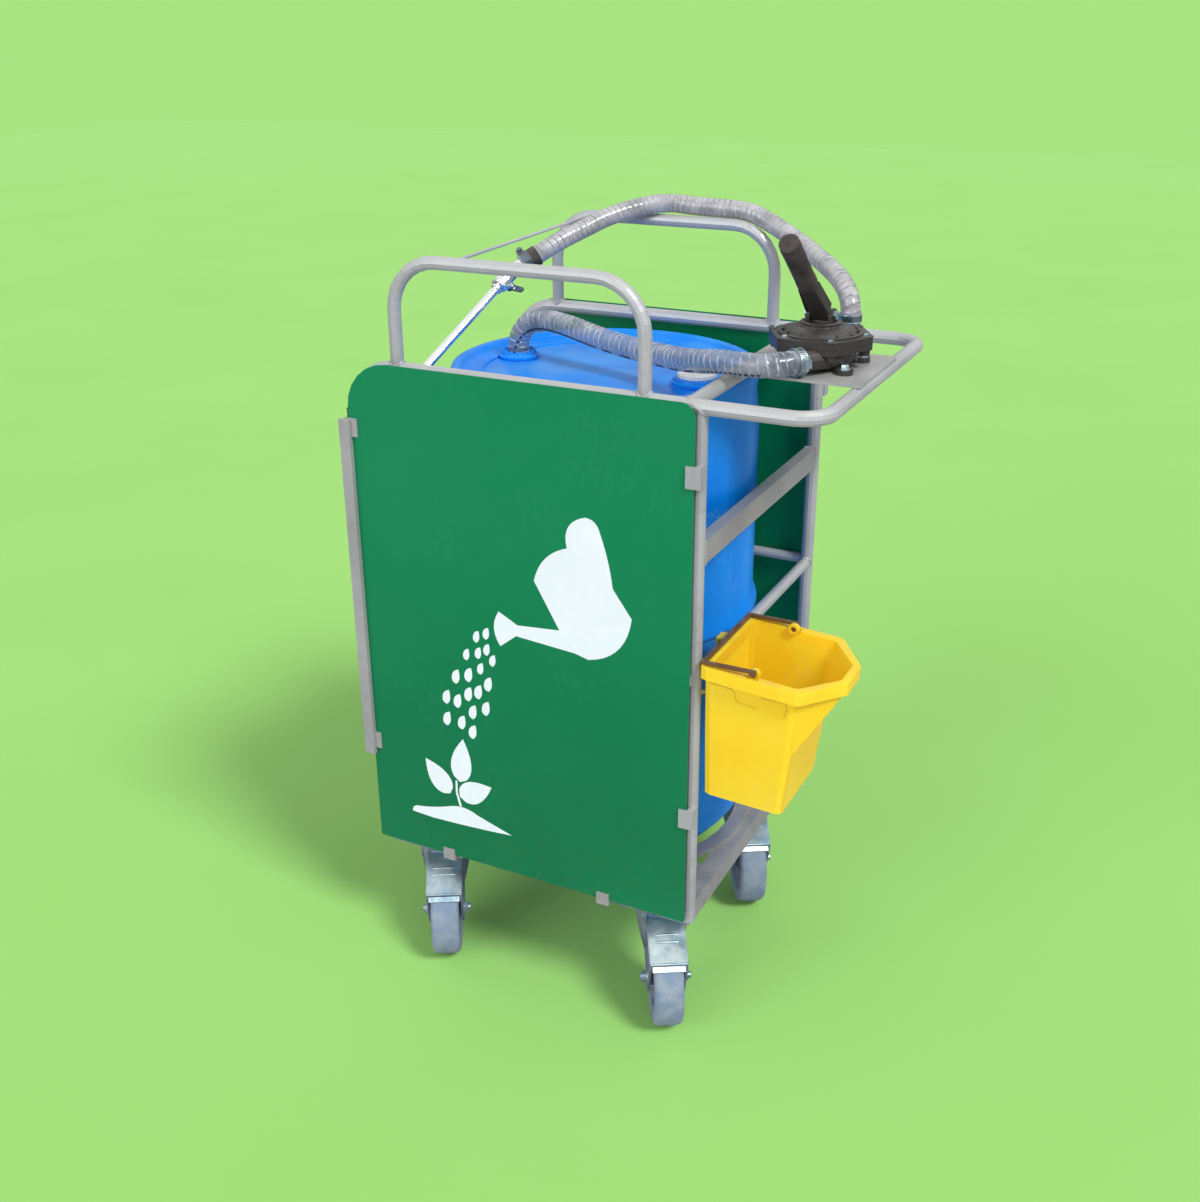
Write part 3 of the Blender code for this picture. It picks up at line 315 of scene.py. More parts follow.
# Dust lies on what faces up, in patches. Rub marks are thin broken lines.
dust_tree, dust_in, dust_out = new_group(
    "settled dust", {"Amount": 0.3, "Patch Size": 9.0}, {"Mask": "Float"}
)
dust_up = put(dust_tree, "SeparateXYZ", (put(dust_tree, "NewGeometry").outputs["Normal"],)).outputs["Z"]
dust_level = calc(dust_tree, "MULTIPLY", stepped(dust_tree, dust_up, 0.1, 0.95), dust_in["Amount"])
dust_spread = stepped(dust_tree, noise(dust_tree, dust_in["Patch Size"], 6.0, 0.65), 0.38, 0.68)
feed(dust_tree, dust_out["Mask"], calc(dust_tree, "MULTIPLY", dust_level, dust_spread))

rub_tree, rub_in, rub_out = new_group("rub marks", {"Fineness": 30.0, "Amount": 0.5}, {"Mask": "Float"})
rub_turned = put(rub_tree, "Mapping", (on_object(rub_tree),), Rotation=(0.4, 0.9, 0.3), Scale=(1, 0.13, 0.5))
rub_noise = noise(rub_tree, rub_in["Fineness"], 8.0, 0.7, rub_turned.outputs[0])
rub_line = calc(rub_tree, "ABSOLUTE", calc(rub_tree, "SUBTRACT", rub_noise, 0.5))
rub_here = stepped(rub_tree, noise(rub_tree, 7.0, 3.0), 0.5, 0.66)
rub_mark = calc(rub_tree, "MULTIPLY", stepped(rub_tree, rub_line, 0.012, 0.0), rub_here)
feed(rub_tree, rub_out["Mask"], calc(rub_tree, "MULTIPLY", rub_mark, rub_in["Amount"]))


def make_hose_wall(name, colour, see_through):
    """Clear plastic gone a little cloudy: milky patches, and dust on its upper side."""
    look, tree, shader = new_look(name, colour, 0.16, Coat_Weight=0.5, IOR=1.52)
    cloud = noise(tree, 34.0, 5.0, 0.6)
    dust = use(tree, dust_tree, Amount=0.35, Patch_Size=26.0)["Mask"]
    darker = tuple(channel * 0.62 for channel in colour[:3])
    clouded = mixed(tree, stepped(tree, cloud, 0.35, 0.7), (*darker, 1), colour)
    milky = stepped(tree, cloud, 0.3, 0.7, see_through, see_through + 0.2)
    feed_all(
        shader,
        Base_Color=mixed(tree, dust, clouded, tone(205, 203, 198)),
        Alpha=calc(tree, "ADD", milky, dust),
        Roughness=stepped(tree, cloud, 0.3, 0.7, 0.12, 0.3),
    )
    raise_bump(shader, cloud, 0.25, 0.0006)
    return look


hose_spiral, spiral_tree, spiral_shader = new_look(
    "hard white spiral", tone(196, 202, 212), 0.2, Coat_Weight=0.5
)
spiral_cloud = noise(spiral_tree, 55.0, 4.0)
spiral_patch = stepped(spiral_tree, spiral_cloud, 0.35, 0.7)
spiral_colour = mixed(spiral_tree, spiral_patch, tone(158, 164, 178), tone(208, 213, 222))
spiral_clear = stepped(spiral_tree, spiral_cloud, 0.35, 0.65, 0.35, 0.8)
feed_all(spiral_shader, Base_Color=spiral_colour, Alpha=spiral_clear)

SPIRAL_STEPS = (-0.09, -0.05, 0.0, 0.05, 0.09, 0.5)
SPIRAL_HEIGHTS = (0.0, 0.75, 1.0, 0.75, 0.0, 0.45)
HOSE_SIDES = 20


def spiral_hose(name, route, radius, pitch, rib, wall):
    """A tube whose wall rises in one rib that winds round it like a thread."""
    line = hose_line(route, 0.004)
    frames = carried_along(line)
    lengths = travelled(line)
    bm = bmesh.new()
    rows = []
    for turn in range(-1, math.ceil(lengths[-1] / pitch) + 1):
        for step, height in zip(SPIRAL_STEPS, SPIRAL_HEIGHTS):
            row = []
            for number in range(HOSE_SIDES):
                along = (turn + step + number / HOSE_SIDES) * pitch
                place, _, side, over = at_length(frames, lengths, along)
                angle = math.tau * number / HOSE_SIDES
                reach = radius - rib * (1 - height)
                row.append(bm.verts.new(place + reach * (math.cos(angle) * side + math.sin(angle) * over)))
            rows.append(row)
    per_turn = len(SPIRAL_STEPS)
    for number in range(len(rows) - per_turn - 1):
        for corner in range(HOSE_SIDES):
            last = corner == HOSE_SIDES - 1
            after = rows[number + per_turn][0] if last else rows[number][corner + 1]
            above = rows[number + per_turn + 1][0] if last else rows[number + 1][corner + 1]
            face = bm.faces.new((rows[number][corner], after, above, rows[number + 1][corner]))
            face.material_index = 1 if number % per_turn < 4 else 0
    bmesh.ops.remove_doubles(bm, verts=bm.verts, dist=0.00002)
    hose = new_piece(name + "_ribbed", bm, "frame", "clear_hose", wall, hose_spiral)
    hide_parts(name)
    return hose, frames, lengths


suction_wall = make_hose_wall("clear suction hose", tone(146, 156, 174), 0.48)
suction, suction_frames, suction_lengths = spiral_hose(
    "suction_hose", SUCTION_ROUTE, 0.018, 0.011, 0.0006, suction_wall
)
discharge_wall = make_hose_wall("clear discharge hose", tone(184, 180, 188), 0.76)
discharge, _, discharge_lengths = spiral_hose(
    "discharge_hose", DISCHARGE_ROUTE, 0.0155, 0.010, 0.0005, discharge_wall
)

# Dashes printed on the suction hose: short dark strips along the side that faces down and out.
DASH_REACH = 0.0182
DASH_WIDTH = 0.0042
DASH_SIDE = Vector((0.1, -0.8, -0.62))
DASHES = [(0.006 + 0.0105 * number, 0.0055) for number in range(5)]
DASHES += [(0.058, 0.16)]
DASHES += [(0.231 + 0.0395 * number, 0.021) for number in range(6)]
DASHES += [(0.465 + 0.0075 * number, 0.0045) for number in range(13)]
dash_look, dash_tree, dash_shader = new_look("dark print on hose", tone(38, 42, 60), 0.4)
dash_worn = mixed(dash_tree, noise(dash_tree, 420.0, 3.0), tone(24, 28, 44), tone(66, 72, 92))
feed_all(dash_shader, Base_Color=dash_worn)
bm = bmesh.new()
for start, length in DASHES:
    edges = []
    steps = max(2, round(length / 0.004))
    for step in range(steps + 1):
        place, direction, _, _ = at_length(suction_frames, suction_lengths, start + length * step / steps)
        out = (DASH_SIDE - DASH_SIDE.dot(direction) * direction).normalized()
        half = direction.cross(out) * DASH_WIDTH / 2
        middle = place + out * DASH_REACH
        edges.append((bm.verts.new(middle - half), bm.verts.new(middle + half)))
    for first, second in zip(edges, edges[1:]):
        bm.faces.new((first[0], first[1], second[1], second[0]))
new_piece("suction_hose_dashes", bm, "frame", "clear_hose", dash_look)


# The floor is one pale sheet that is lit and keeps the trolley's shadow, and the light is a soft high sun
# from the pump end with a weaker one from the front, in a pale room.
BACKDROP_GREEN = tone(171, 228, 131)
FLOOR_HALF = 14.0
FLOOR_BELOW_WHEELS = 0.0004
floor_look, floor_tree, floor_shader = new_look("pale floor", BACKDROP_GREEN, 0.9)
floor_green = mixed(floor_tree, noise(floor_tree, 1.3, 5.0), tone(148, 205, 104), tone(156, 214, 116))
seen = put(floor_tree, "LightPath").outputs
floor_grey = mixed(floor_tree, seen["Is Glossy Ray"], tone(200, 204, 194), tone(120, 122, 118))
floor_direct = calc(floor_tree, "MAXIMUM", seen["Is Camera Ray"], seen["Is Transmission Ray"])
feed_all(floor_shader, Base_Color=mixed(floor_tree, floor_direct, floor_grey, floor_green))
bm = bmesh.new()
bmesh.ops.create_grid(bm, x_segments=1, y_segments=1, size=FLOOR_HALF)
floor_mesh = bpy.data.meshes.new("floor")
bm.to_mesh(floor_mesh)
bm.free()
floor = bpy.data.objects.new("floor", floor_mesh)
floor.location.z = -FLOOR_BELOW_WHEELS
floor_mesh.materials.append(floor_look)
bpy.context.scene.collection.objects.link(floor)

for sun_name, towards, strength, softness in (
    ("sun_pump_end", (-1.0, 0.42, -1.15), 2.3, 16),
    ("sun_front", (0.35, 1.0, -0.45), 1.15, 40),
):
    sun = bpy.data.objects.new(sun_name, bpy.data.lights.new(sun_name, "SUN"))
    sun.data.energy = strength
    sun.data.angle = math.radians(softness)
    sun.rotation_mode = "QUATERNION"
    sun.rotation_quaternion = Vector(towards).to_track_quat("-Z", "Y")
    bpy.context.scene.collection.objects.link(sun)

world = bpy.data.worlds.new("pale room")
bpy.context.scene.world = world
world.use_nodes = True
room = world.node_tree
room_height = put(room, "SeparateXYZ", (put(room, "TexCoord").outputs["Generated"],)).outputs["Z"]
LOW_GLOW, HIGH_GLOW, MIRRORED_GLOW = (0.16, 0.165, 0.17, 1), (0.95, 0.95, 0.95, 1), (0.50, 0.50, 0.50, 1)
room_glow = mixed(room, stepped(room, room_height, -0.05, 0.55), LOW_GLOW, HIGH_GLOW)
room_seen = put(room, "LightPath").outputs
room_plain = mixed(room, room_seen["Is Glossy Ray"], MIRRORED_GLOW, room_glow)
feed_all(room.nodes["Background"], Color=mixed(room, room_seen["Is Camera Ray"], room_plain, BACKDROP_GREEN))


# The frame is round steel tube, bent and welded, with square bar for the base and the two beams against the
# drum. It is sprayed silver-grey over the welds, and the paint is scuffed and a little dusty.
peel_tree, peel_in, peel_out = new_group(
    "sprayed skin", {"Peel Size": 700.0, "Cloud Size": 6.0}, {"Height": "Float", "Cloud": "Float"}
)
feed(peel_tree, peel_out["Height"], noise(peel_tree, peel_in["Peel Size"], 2.0))
feed(peel_tree, peel_out["Cloud"], noise(peel_tree, peel_in["Cloud Size"], 6.0, 0.6))

grime_tree, grime_in, grime_out = new_group("floor grime", {"Reach": 0.35, "Amount": 0.5}, {"Mask": "Float"})
grime_z = put(grime_tree, "SeparateXYZ", (on_object(grime_tree),)).outputs["Z"]
grime_low = put(grime_tree, "MapRange", Value=grime_z, From_Min=grime_in["Reach"], From_Max=0.0).outputs[0]
grime_fleck = stepped(grime_tree, noise(grime_tree, 38.0, 8.0, 0.7), 0.42, 0.66)
grime_here = calc(grime_tree, "MULTIPLY", grime_low, grime_fleck)
feed(grime_tree, grime_out["Mask"], calc(grime_tree, "MULTIPLY", grime_here, grime_in["Amount"]))

SILVER_METALLIC = 0.22


def make_silver_paint(name, base, pale, roughness):
    """Sprayed paint with metal flakes in it, rubbed in thin lines, dusty above and grimy near the floor."""
    look, tree, shader = new_look(name, base, roughness, SILVER_METALLIC, Coat_Weight=0.2)
    skin = use(tree, peel_tree)
    dust = use(tree, dust_tree, Amount=0.4, Patch_Size=14.0)["Mask"]
    flake = put(tree, "TexVoronoi", Vector=on_object(tree), Scale=1500.0).outputs["Color"]
    flake_light = put(tree, "SeparateColor", (flake,)).outputs[0]
    colour = layered(
        tree,
        base,
        (stepped(tree, skin["Cloud"], 0.3, 0.7), pale),
        (stepped(tree, flake_light, 0.0, 1.0, 0.0, 0.16), tone(232, 235, 238)),
        (use(tree, rub_tree, Fineness=34.0, Amount=0.5)["Mask"], tone(112, 112, 112)),
        (dust, tone(188, 182, 168)),
        (use(tree, grime_tree, Reach=0.42, Amount=0.45)["Mask"], tone(104, 94, 80)),
    )
    feed_all(
        shader,
        Base_Color=colour,
        Roughness=stepped(tree, skin["Cloud"], 0.3, 0.7, roughness - 0.05, roughness + 0.1),
        Metallic=calc(tree, "SUBTRACT", SILVER_METALLIC, calc(tree, "MULTIPLY", dust, SILVER_METALLIC)),
    )
    raise_bump(shader, skin["Height"], 0.18, 0.0004)
    return look


tube_paint = make_silver_paint("silver paint on tube", tone(160, 163, 167), tone(178, 181, 185), 0.4)
bar_paint = make_silver_paint("silver paint on bar", tone(138, 139, 141), tone(156, 157, 159), 0.46)
sheet_paint = make_silver_paint("silver paint on sheet", tone(150, 151, 152), tone(168, 169, 170), 0.42)
weld_paint = make_silver_paint("silver paint over weld", tone(150, 152, 156), tone(178, 181, 185), 0.34)


def give(look, *nodes):
    """Puts a material on CAD nodes."""
    for node in nodes:
        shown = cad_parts[node]
        for slot in shown.material_slots:
            slot.material = look


give(tube_paint, "main_rail", "front_upright_near", "front_upright_far", "guard_loop_near", "guard_loop_far")
give(tube_paint, "top_cross_tube", "mid_cross_tube", "mid_rail_near", "mid_rail_far", "stay_rod")
give(bar_paint, "drum_beam_front", "drum_beam_rear", "base_member_front", "base_member_rear")
give(bar_paint, "base_side_near", "base_side_far", "drum_cradle", "drum_seat_ring")
give(sheet_paint, "clip_bar_near", "clip_bar_far", "pump_plate")

RAIL_Y = {"near": -0.2405, "far": 0.2715}
RAIL_Z = 1.063
FRONT_X, REAR_X = 0.1855, -0.3885
GUARD_FEET_X = (-0.3065, 0.1015)
TOP_CROSS_X, MID_CROSS_Z = 0.1675, 0.652
TUBE_RADIUS, GUARD_RADIUS, MID_TUBE_RADIUS = 0.011, 0.010, 0.0095
UPRIGHT_FOOT_Z = 0.220
WELD_STEPS = 48


def circle(middle, side, over, radius, steps):
    """Points once round a circle in the plane of two directions. The last is the first again."""
    turns = [math.tau * step / steps for step in range(steps + 1)]
    return [middle + radius * (math.cos(turn) * side + math.sin(turn) * over) for turn in turns]


def dotted(corners, steps):
    """Points along the edges between corners, so many to an edge, and without the last corner."""
    corners = [Vector(corner) for corner in corners]
    edges = zip(corners, corners[1:])
    return [first.lerp(second, step / steps) for first, second in edges for step in range(steps)]


def tube_skin(bm, line, radius, sides=8, capped=False, swell=lambda number: 1):
    """A tube along a line. Its radius may swell with the number of the point."""
    rings = []
    for number, (place, _, side, over) in enumerate(carried_along(line)):
        points = circle(place, side, over, radius * swell(number), sides)
        rings.append([bm.verts.new(point) for point in points[:-1]])
    for first, second in zip(rings, rings[1:]):
        for corner in range(sides):
            after = (corner + 1) % sides
            bm.faces.new((first[corner], first[after], second[after], second[corner]))
    if capped:
        bm.faces.new(rings[0])
        bm.faces.new(rings[-1])


def weld_ripple(number):
    """How thick a weld is at one of its points: it was laid by hand, so it is a little uneven."""
    return 1 + 0.16 * math.sin(number * 2.1) + 0.08 * math.sin(number * 0.7)


def weld_bead(bm, line):
    """A bead of weld along a line."""
    tube_skin(bm, line, 0.0021, swell=weld_ripple)


def saddle(at_x, at_y, small, direction):
    """The line where an upright tube of a small radius meets the rail above or below it."""
    line = []
    for step in range(WELD_STEPS + 1):
        angle = math.tau * step / WELD_STEPS
        out_y = small * math.sin(angle)
        depth = math.sqrt(max(TUBE_RADIUS**2 - out_y**2, 0))
        line.append(Vector((at_x + small * math.cos(angle), at_y + out_y, RAIL_Z + direction * depth)))
    return line


def cross_saddle(at_x, rail_y, at_z, small, along_rail):
    """The line where a tube laid across the trolley meets the rail, or meets an upright."""
    line = []
    inwards = -1 if rail_y > 0 else 1
    for step in range(WELD_STEPS + 1):
        angle = math.tau * step / WELD_STEPS
        out_x, out_z = small * math.cos(angle), small * math.sin(angle)
        across = out_z if along_rail else out_x
        depth = math.sqrt(max(TUBE_RADIUS**2 - across**2, 0))
        line.append(Vector((at_x + out_x, rail_y + inwards * depth, at_z + out_z)))
    return line


def bar_outline(x_range, z_range, y):
    """The outline of a square bar's end, with points along each edge."""
    (low_x, high_x), (low_z, high_z) = x_range, z_range
    corners = [(low_x, y, low_z), (high_x, y, low_z), (high_x, y, high_z), (low_x, y, high_z)]
    return [*dotted([*corners, corners[0]], 9), Vector(corners[0])]


bm = bmesh.new()
for rail_y in RAIL_Y.values():
    inner_y = rail_y - math.copysign(TUBE_RADIUS, rail_y)
    for foot_x in GUARD_FEET_X:
        weld_bead(bm, saddle(foot_x, rail_y, GUARD_RADIUS, 1))
    weld_bead(bm, saddle(FRONT_X, rail_y, TUBE_RADIUS, -1))
    weld_bead(bm, cross_saddle(TOP_CROSS_X, rail_y, RAIL_Z, TUBE_RADIUS, True))
    weld_bead(bm, cross_saddle(FRONT_X, rail_y, MID_CROSS_Z, MID_TUBE_RADIUS, False))
    for bar in ("drum_beam_front", "drum_beam_rear", "base_member_front", "base_member_rear"):
        low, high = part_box(bar)
        low_edge = max(low.z, UPRIGHT_FOOT_Z)
        weld_bead(bm, bar_outline((low.x, high.x), (low_edge, high.z), inner_y))
new_piece("frame_welds", bm, "frame", "frame_paint", weld_paint)

# The open ends of the four uprights hold dark domed discs: painted shade for the dark inside of the tubes.
tube_end_shade_look, tube_end_shade_tree, tube_end_shade_shader = new_look("dark disc as painted shade in tube end", tone(40, 40, 42), 0.55)
tube_end_shade_grain = noise(tube_end_shade_tree, 160.0, 4.0)
feed_all(tube_end_shade_shader, Base_Color=mixed(tube_end_shade_tree, tube_end_shade_grain, tone(28, 28, 30), tone(70, 68, 64)))
raise_bump(tube_end_shade_shader, tube_end_shade_grain, 0.3, 0.0004)


def lathe(bm, profile, at, axis, sides=24):
    """A profile of (radius, height) points turned about an axis that starts at a point."""
    axis = Vector(axis).normalized()
    turn = Vector((0, 0, 1)).rotation_difference(axis)
    rings = []
    for radius, height in profile:
        if radius < 1e-6:
            rings.append([bm.verts.new(Vector(at) + turn @ Vector((0, 0, height)))])
            continue
        ring = []
        for number in range(sides):
            angle = math.tau * number / sides
            local = Vector((radius * math.cos(angle), radius * math.sin(angle), height))
            ring.append(bm.verts.new(Vector(at) + turn @ local))
        rings.append(ring)
    for first, second in zip(rings, rings[1:]):
        for number in range(sides):
            after = (number + 1) % sides
            corners = [first[number % len(first)], first[after % len(first)]]
            corners += [second[after % len(second)], second[number % len(second)]]
            corners = list(dict.fromkeys(corners))
            if len(corners) > 2:
                bm.faces.new(corners)


# The profile of a dark disc that stands for the shade inside an open tube end.
TUBE_END_SHADE_DISC = ((0, 0.0035), (0.0062, 0.003), (0.0082, 0.0), (0.0, 0.0))
bm = bmesh.new()
for rail_y in RAIL_Y.values():
    for upright_x in (FRONT_X, REAR_X):
        lathe(bm, TUBE_END_SHADE_DISC, (upright_x, rail_y, UPRIGHT_FOOT_Z - 0.0001), (0, 0, -1), 18)
new_piece("upright_end_shade_discs", bm, "frame", "frame_paint", tube_end_shade_look)


# The two side panels are thin sheet, painted green on both faces. They are held by bent clips, and their
# outer faces carry a white picture of a watering can over a seedling, cut from film: a plain drawing.
sheet_green, green_tree, green_shader = new_look(
    "green painted sheet", tone(8, 124, 78), 0.36, Specular_IOR_Level=0.22
)
green_skin = use(green_tree, peel_tree, Peel_Size=420.0, Cloud_Size=2.2)
green_height = put(green_tree, "SeparateXYZ", (on_object(green_tree),)).outputs["Z"]
green_worn_and_shaded = layered(
    green_tree,
    tone(12, 112, 70),
    # Painted shade: the sheet is darker and duller towards the bottom, set by height alone.
    (stepped(green_tree, green_height, 0.25, 0.95), tone(5, 128, 80)),
    (stepped(green_tree, green_skin["Cloud"], 0.3, 0.7, 0.0, 0.5), tone(14, 132, 86)),
    (use(green_tree, rub_tree, Fineness=16.0, Amount=0.2)["Mask"], tone(52, 146, 108)),
    (use(green_tree, grime_tree, Reach=0.50, Amount=0.25)["Mask"], tone(74, 92, 66)),
)
green_rough = stepped(green_tree, green_skin["Cloud"], 0.3, 0.7, 0.26, 0.42)
feed_all(green_shader, Base_Color=green_worn_and_shaded, Roughness=green_rough)
raise_bump(green_shader, green_skin["Height"], 0.08, 0.0003)
give(sheet_green, "panel_near", "panel_far")

film_white, film_tree, film_shader = new_look("white film", tone(231, 244, 252), 0.3, Coat_Weight=0.2)
film_skin = use(film_tree, peel_tree, Peel_Size=300.0, Cloud_Size=12.0)
film_rub = use(film_tree, rub_tree, Fineness=24.0, Amount=0.3)["Mask"]
film_cloud = mixed(film_tree, film_skin["Cloud"], tone(222, 234, 242), tone(238, 248, 254))
feed_all(film_shader, Base_Color=mixed(film_tree, film_rub, film_cloud, tone(176, 196, 196)))
raise_bump(film_shader, film_skin["Height"], 0.1, 0.0002)

FILM_LIFT = 0.00025
PANEL_MIDDLE_X = -0.1015


def arc(start, end, bulge, steps=10):
    """Points from start up to but without end, bowed to the left by that share of the way's length."""
    start, end = Vector(start), Vector(end)
    side = Vector((-(end - start).y, (end - start).x))
    line = []
    for step in range(steps):
        part = step / steps
        line.append(start.lerp(end, part) + side * bulge * 4 * part * (1 - part))
    return line


def can_outline():
    """The watering can: its dome, handle side, base, and the spout that widens into a rose."""
    line = arc((-0.076, 0.763), (-0.019, 0.825), 0.14)
    line += arc((-0.019, 0.825), (0.012, 0.878), 0.24)
    line += arc((0.012, 0.878), (0.035, 0.859), 0.18, 6)
    line += arc((0.035, 0.859), (0.056, 0.774), 0.03, 6)
    line += arc((0.056, 0.774), (0.087, 0.731), 0.0, 2)
    line += arc((0.087, 0.731), (0.000, 0.648), 0.20)
    line += [(-0.008, 0.656), (-0.110, 0.664)]
    line += arc((-0.139, 0.641), (-0.140, 0.700), 0.17, 6)
    return [*line, (-0.140, 0.700), (-0.107, 0.683), (-0.034, 0.689)]


def leaf_outline(base, tip, width):
    """A leaf that is round at its base and widest a third of the way up to its pointed tip."""
    base, tip = Vector(base), Vector(tip)
    side = Vector((-(tip - base).y, (tip - base).x)) * width * 3.0
    parts = [step / 12 for step in range(13)]
    swell = [side * part**0.62 * (1 - part) ** 1.05 for part in parts]
    up_one_side = [base.lerp(tip, part) + out for part, out in zip(parts, swell)]
    down_the_other = [base.lerp(tip, part) - out for part, out in zip(parts, swell)]
    return up_one_side + down_the_other[-2:0:-1]


def drop_outline(at):
    """A leaning drop with its corner at the top. The drops near the can are smaller."""
    line = arc((0.0060, 0.0137), (-0.0071, -0.0016), -0.18, 6)
    line += arc((-0.0071, -0.0016), (0.0010, -0.0127), -0.24, 5)
    line += arc((0.0010, -0.0127), (0.0077, 0.0017), -0.12, 5)
    line += arc((0.0077, 0.0017), (0.0060, 0.0137), -0.03, 3)
    size = 0.8 if at[1] > 0.59 else 1.0
    return [(at[0] + size * point[0], at[1] + size * point[1]) for point in line]


FIGURE_AT = (0.0063, 0.0057)
DROPS = (
    (-0.183, 0.648), (-0.165, 0.657),
    (-0.203, 0.613), (-0.181, 0.620), (-0.165, 0.629), (-0.155, 0.612),
    (-0.225, 0.569), (-0.201, 0.577), (-0.178, 0.593), (-0.165, 0.568),
    (-0.245, 0.528), (-0.224, 0.525), (-0.203, 0.542), (-0.184, 0.550),
    (-0.246, 0.488), (-0.218, 0.487), (-0.196, 0.511), (-0.171, 0.523),
    (-0.198, 0.474),
)
MOUND = (
    *arc((-0.326, 0.290), (-0.317, 0.3025), 0.2, 4),
    *arc((-0.317, 0.3025), (-0.244, 0.3215), -0.03, 5),
    *arc((-0.244, 0.3215), (-0.196, 0.316), 0.10, 6),
    *arc((-0.196, 0.316), (-0.1304, 0.295), 0.0, 5),
    *arc((-0.1304, 0.295), (-0.323, 0.287), 0.01, 5),
)


def film_piece(name, outlines, y, faces_out):
    """Flat film laid on a panel. The far panel's is turned round so that it reads the same from outside."""
    bm = bmesh.new()
    for outline in outlines:
        corners = []
        for point in outline:
            across = FIGURE_AT[0] + point[0]
            x = across if faces_out < 0 else 2 * PANEL_MIDDLE_X - across
            corners.append(bm.verts.new((x, y, FIGURE_AT[1] + point[1])))
        face = bm.faces.new(corners)
        face.normal_update()
        if face.normal.y * faces_out < 0:
            face.normal_flip()
    bmesh.ops.triangulate(bm, faces=bm.faces)
    new_piece(name, bm, "frame", "panel_sheet", film_white)


SEEDLING = (
    leaf_outline((-0.2475, 0.345), (-0.293, 0.402), 0.28),
    leaf_outline((-0.227, 0.3725), (-0.217, 0.4565), 0.235),
    leaf_outline((-0.229, 0.344), (-0.166, 0.3775), 0.29),
    (
        (-0.236, 0.3735), (-0.2322, 0.3735), (-0.2324, 0.350),
        (-0.2255, 0.325), (-0.2305, 0.325), (-0.2364, 0.350),
    ),
)
near_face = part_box("panel_near")[0].y - FILM_LIFT
far_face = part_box("panel_far")[1].y + FILM_LIFT
for film_name, film_y, faces_out in (("near", near_face, -1), ("far", far_face, 1)):
    drops = [drop_outline(at) for at in DROPS]
    film_piece("film_can_" + film_name, [can_outline()], film_y, faces_out)
    film_piece("film_drops_" + film_name, drops, film_y, faces_out)
    film_piece("film_seedling_" + film_name, [*SEEDLING, MOUND], film_y, faces_out)


# The drum is blown from blue plastic in two mould halves, with a thick rolled rim, a sunk top and one hoop.
# A white cap is screwed into one boss, and the hose goes down through the other. The top has caught dust.
drum_look, drum_mat, drum_shader = new_look(
    "blue drum plastic", tone(4, 128, 234), 0.38, Specular_IOR_Level=0.18
)
drum_skin = use(drum_mat, peel_tree, Peel_Size=260.0, Cloud_Size=5.0)
drum_flow = put(drum_mat, "Mapping", (on_object(drum_mat),), Scale=(14.0, 14.0, 1.2)).outputs[0]
drum_streak = noise(drum_mat, 1.0, 5.0, place=drum_flow)
drum_worn = layered(
    drum_mat,
    tone(2, 120, 224),
    (stepped(drum_mat, drum_streak, 0.3, 0.7), tone(12, 142, 244)),
    (stepped(drum_mat, drum_skin["Cloud"], 0.35, 0.7, 0.0, 0.5), tone(30, 148, 240)),
    (use(drum_mat, rub_tree, Fineness=20.0, Amount=0.35)["Mask"], tone(120, 182, 240)),
    (use(drum_mat, dust_tree, Amount=0.4, Patch_Size=7.0)["Mask"], tone(104, 164, 214)),
)
drum_rough = stepped(drum_mat, drum_skin["Cloud"], 0.3, 0.7, 0.28, 0.46)
feed_all(drum_shader, Base_Color=drum_worn, Roughness=drum_rough)
drum_relief = calc(drum_mat, "ADD", calc(drum_mat, "MULTIPLY", drum_skin["Height"], 0.3), drum_streak)
raise_bump(drum_shader, drum_relief, 0.2, 0.0012)

DRUM_AT = Vector((-0.0865, 0.0155, 0))
FLOOR_OF_TOP = 1.027
PARTING_ANGLES = (math.radians(62), math.radians(242))
PARTING_LINE = (
    (0.2489, 0.935), (0.2489, 0.700), (0.2490, 0.676), (0.2489, 0.660), (0.2489, 0.646), (0.2489, 0.642),
    (0.2496, 0.636), (0.2489, 0.600), (0.2489, 0.305), (0.2433, 0.277), (0.2263, 0.255),
)


def raised(place, height):
    """A place moved straight up."""
    return place + Vector((0, 0, height))


def level(angle):
    """The level direction at an angle."""
    return Vector((math.cos(angle), math.sin(angle), 0))


def spokes(count, first=0.0):
    """Level directions spread evenly all round."""
    return [level(math.tau * (number + first) / count) for number in range(count)]


# A stiffening ring is moulded into the sunk top, and the mould's parting ridge runs up both sides.
bm = bmesh.new()
ring_middle = raised(DRUM_AT, FLOOR_OF_TOP - 0.0008)
tube_skin(bm, circle(ring_middle, Vector((1, 0, 0)), Vector((0, 1, 0)), 0.198, 64), 0.0032)
for angle in PARTING_ANGLES:
    tube_skin(bm, [raised(DRUM_AT + level(angle) * radius, z) for radius, z in PARTING_LINE], 0.0009, 6)
new_piece("drum_mouldings", bm, "frame", "drum_plastic", drum_look)

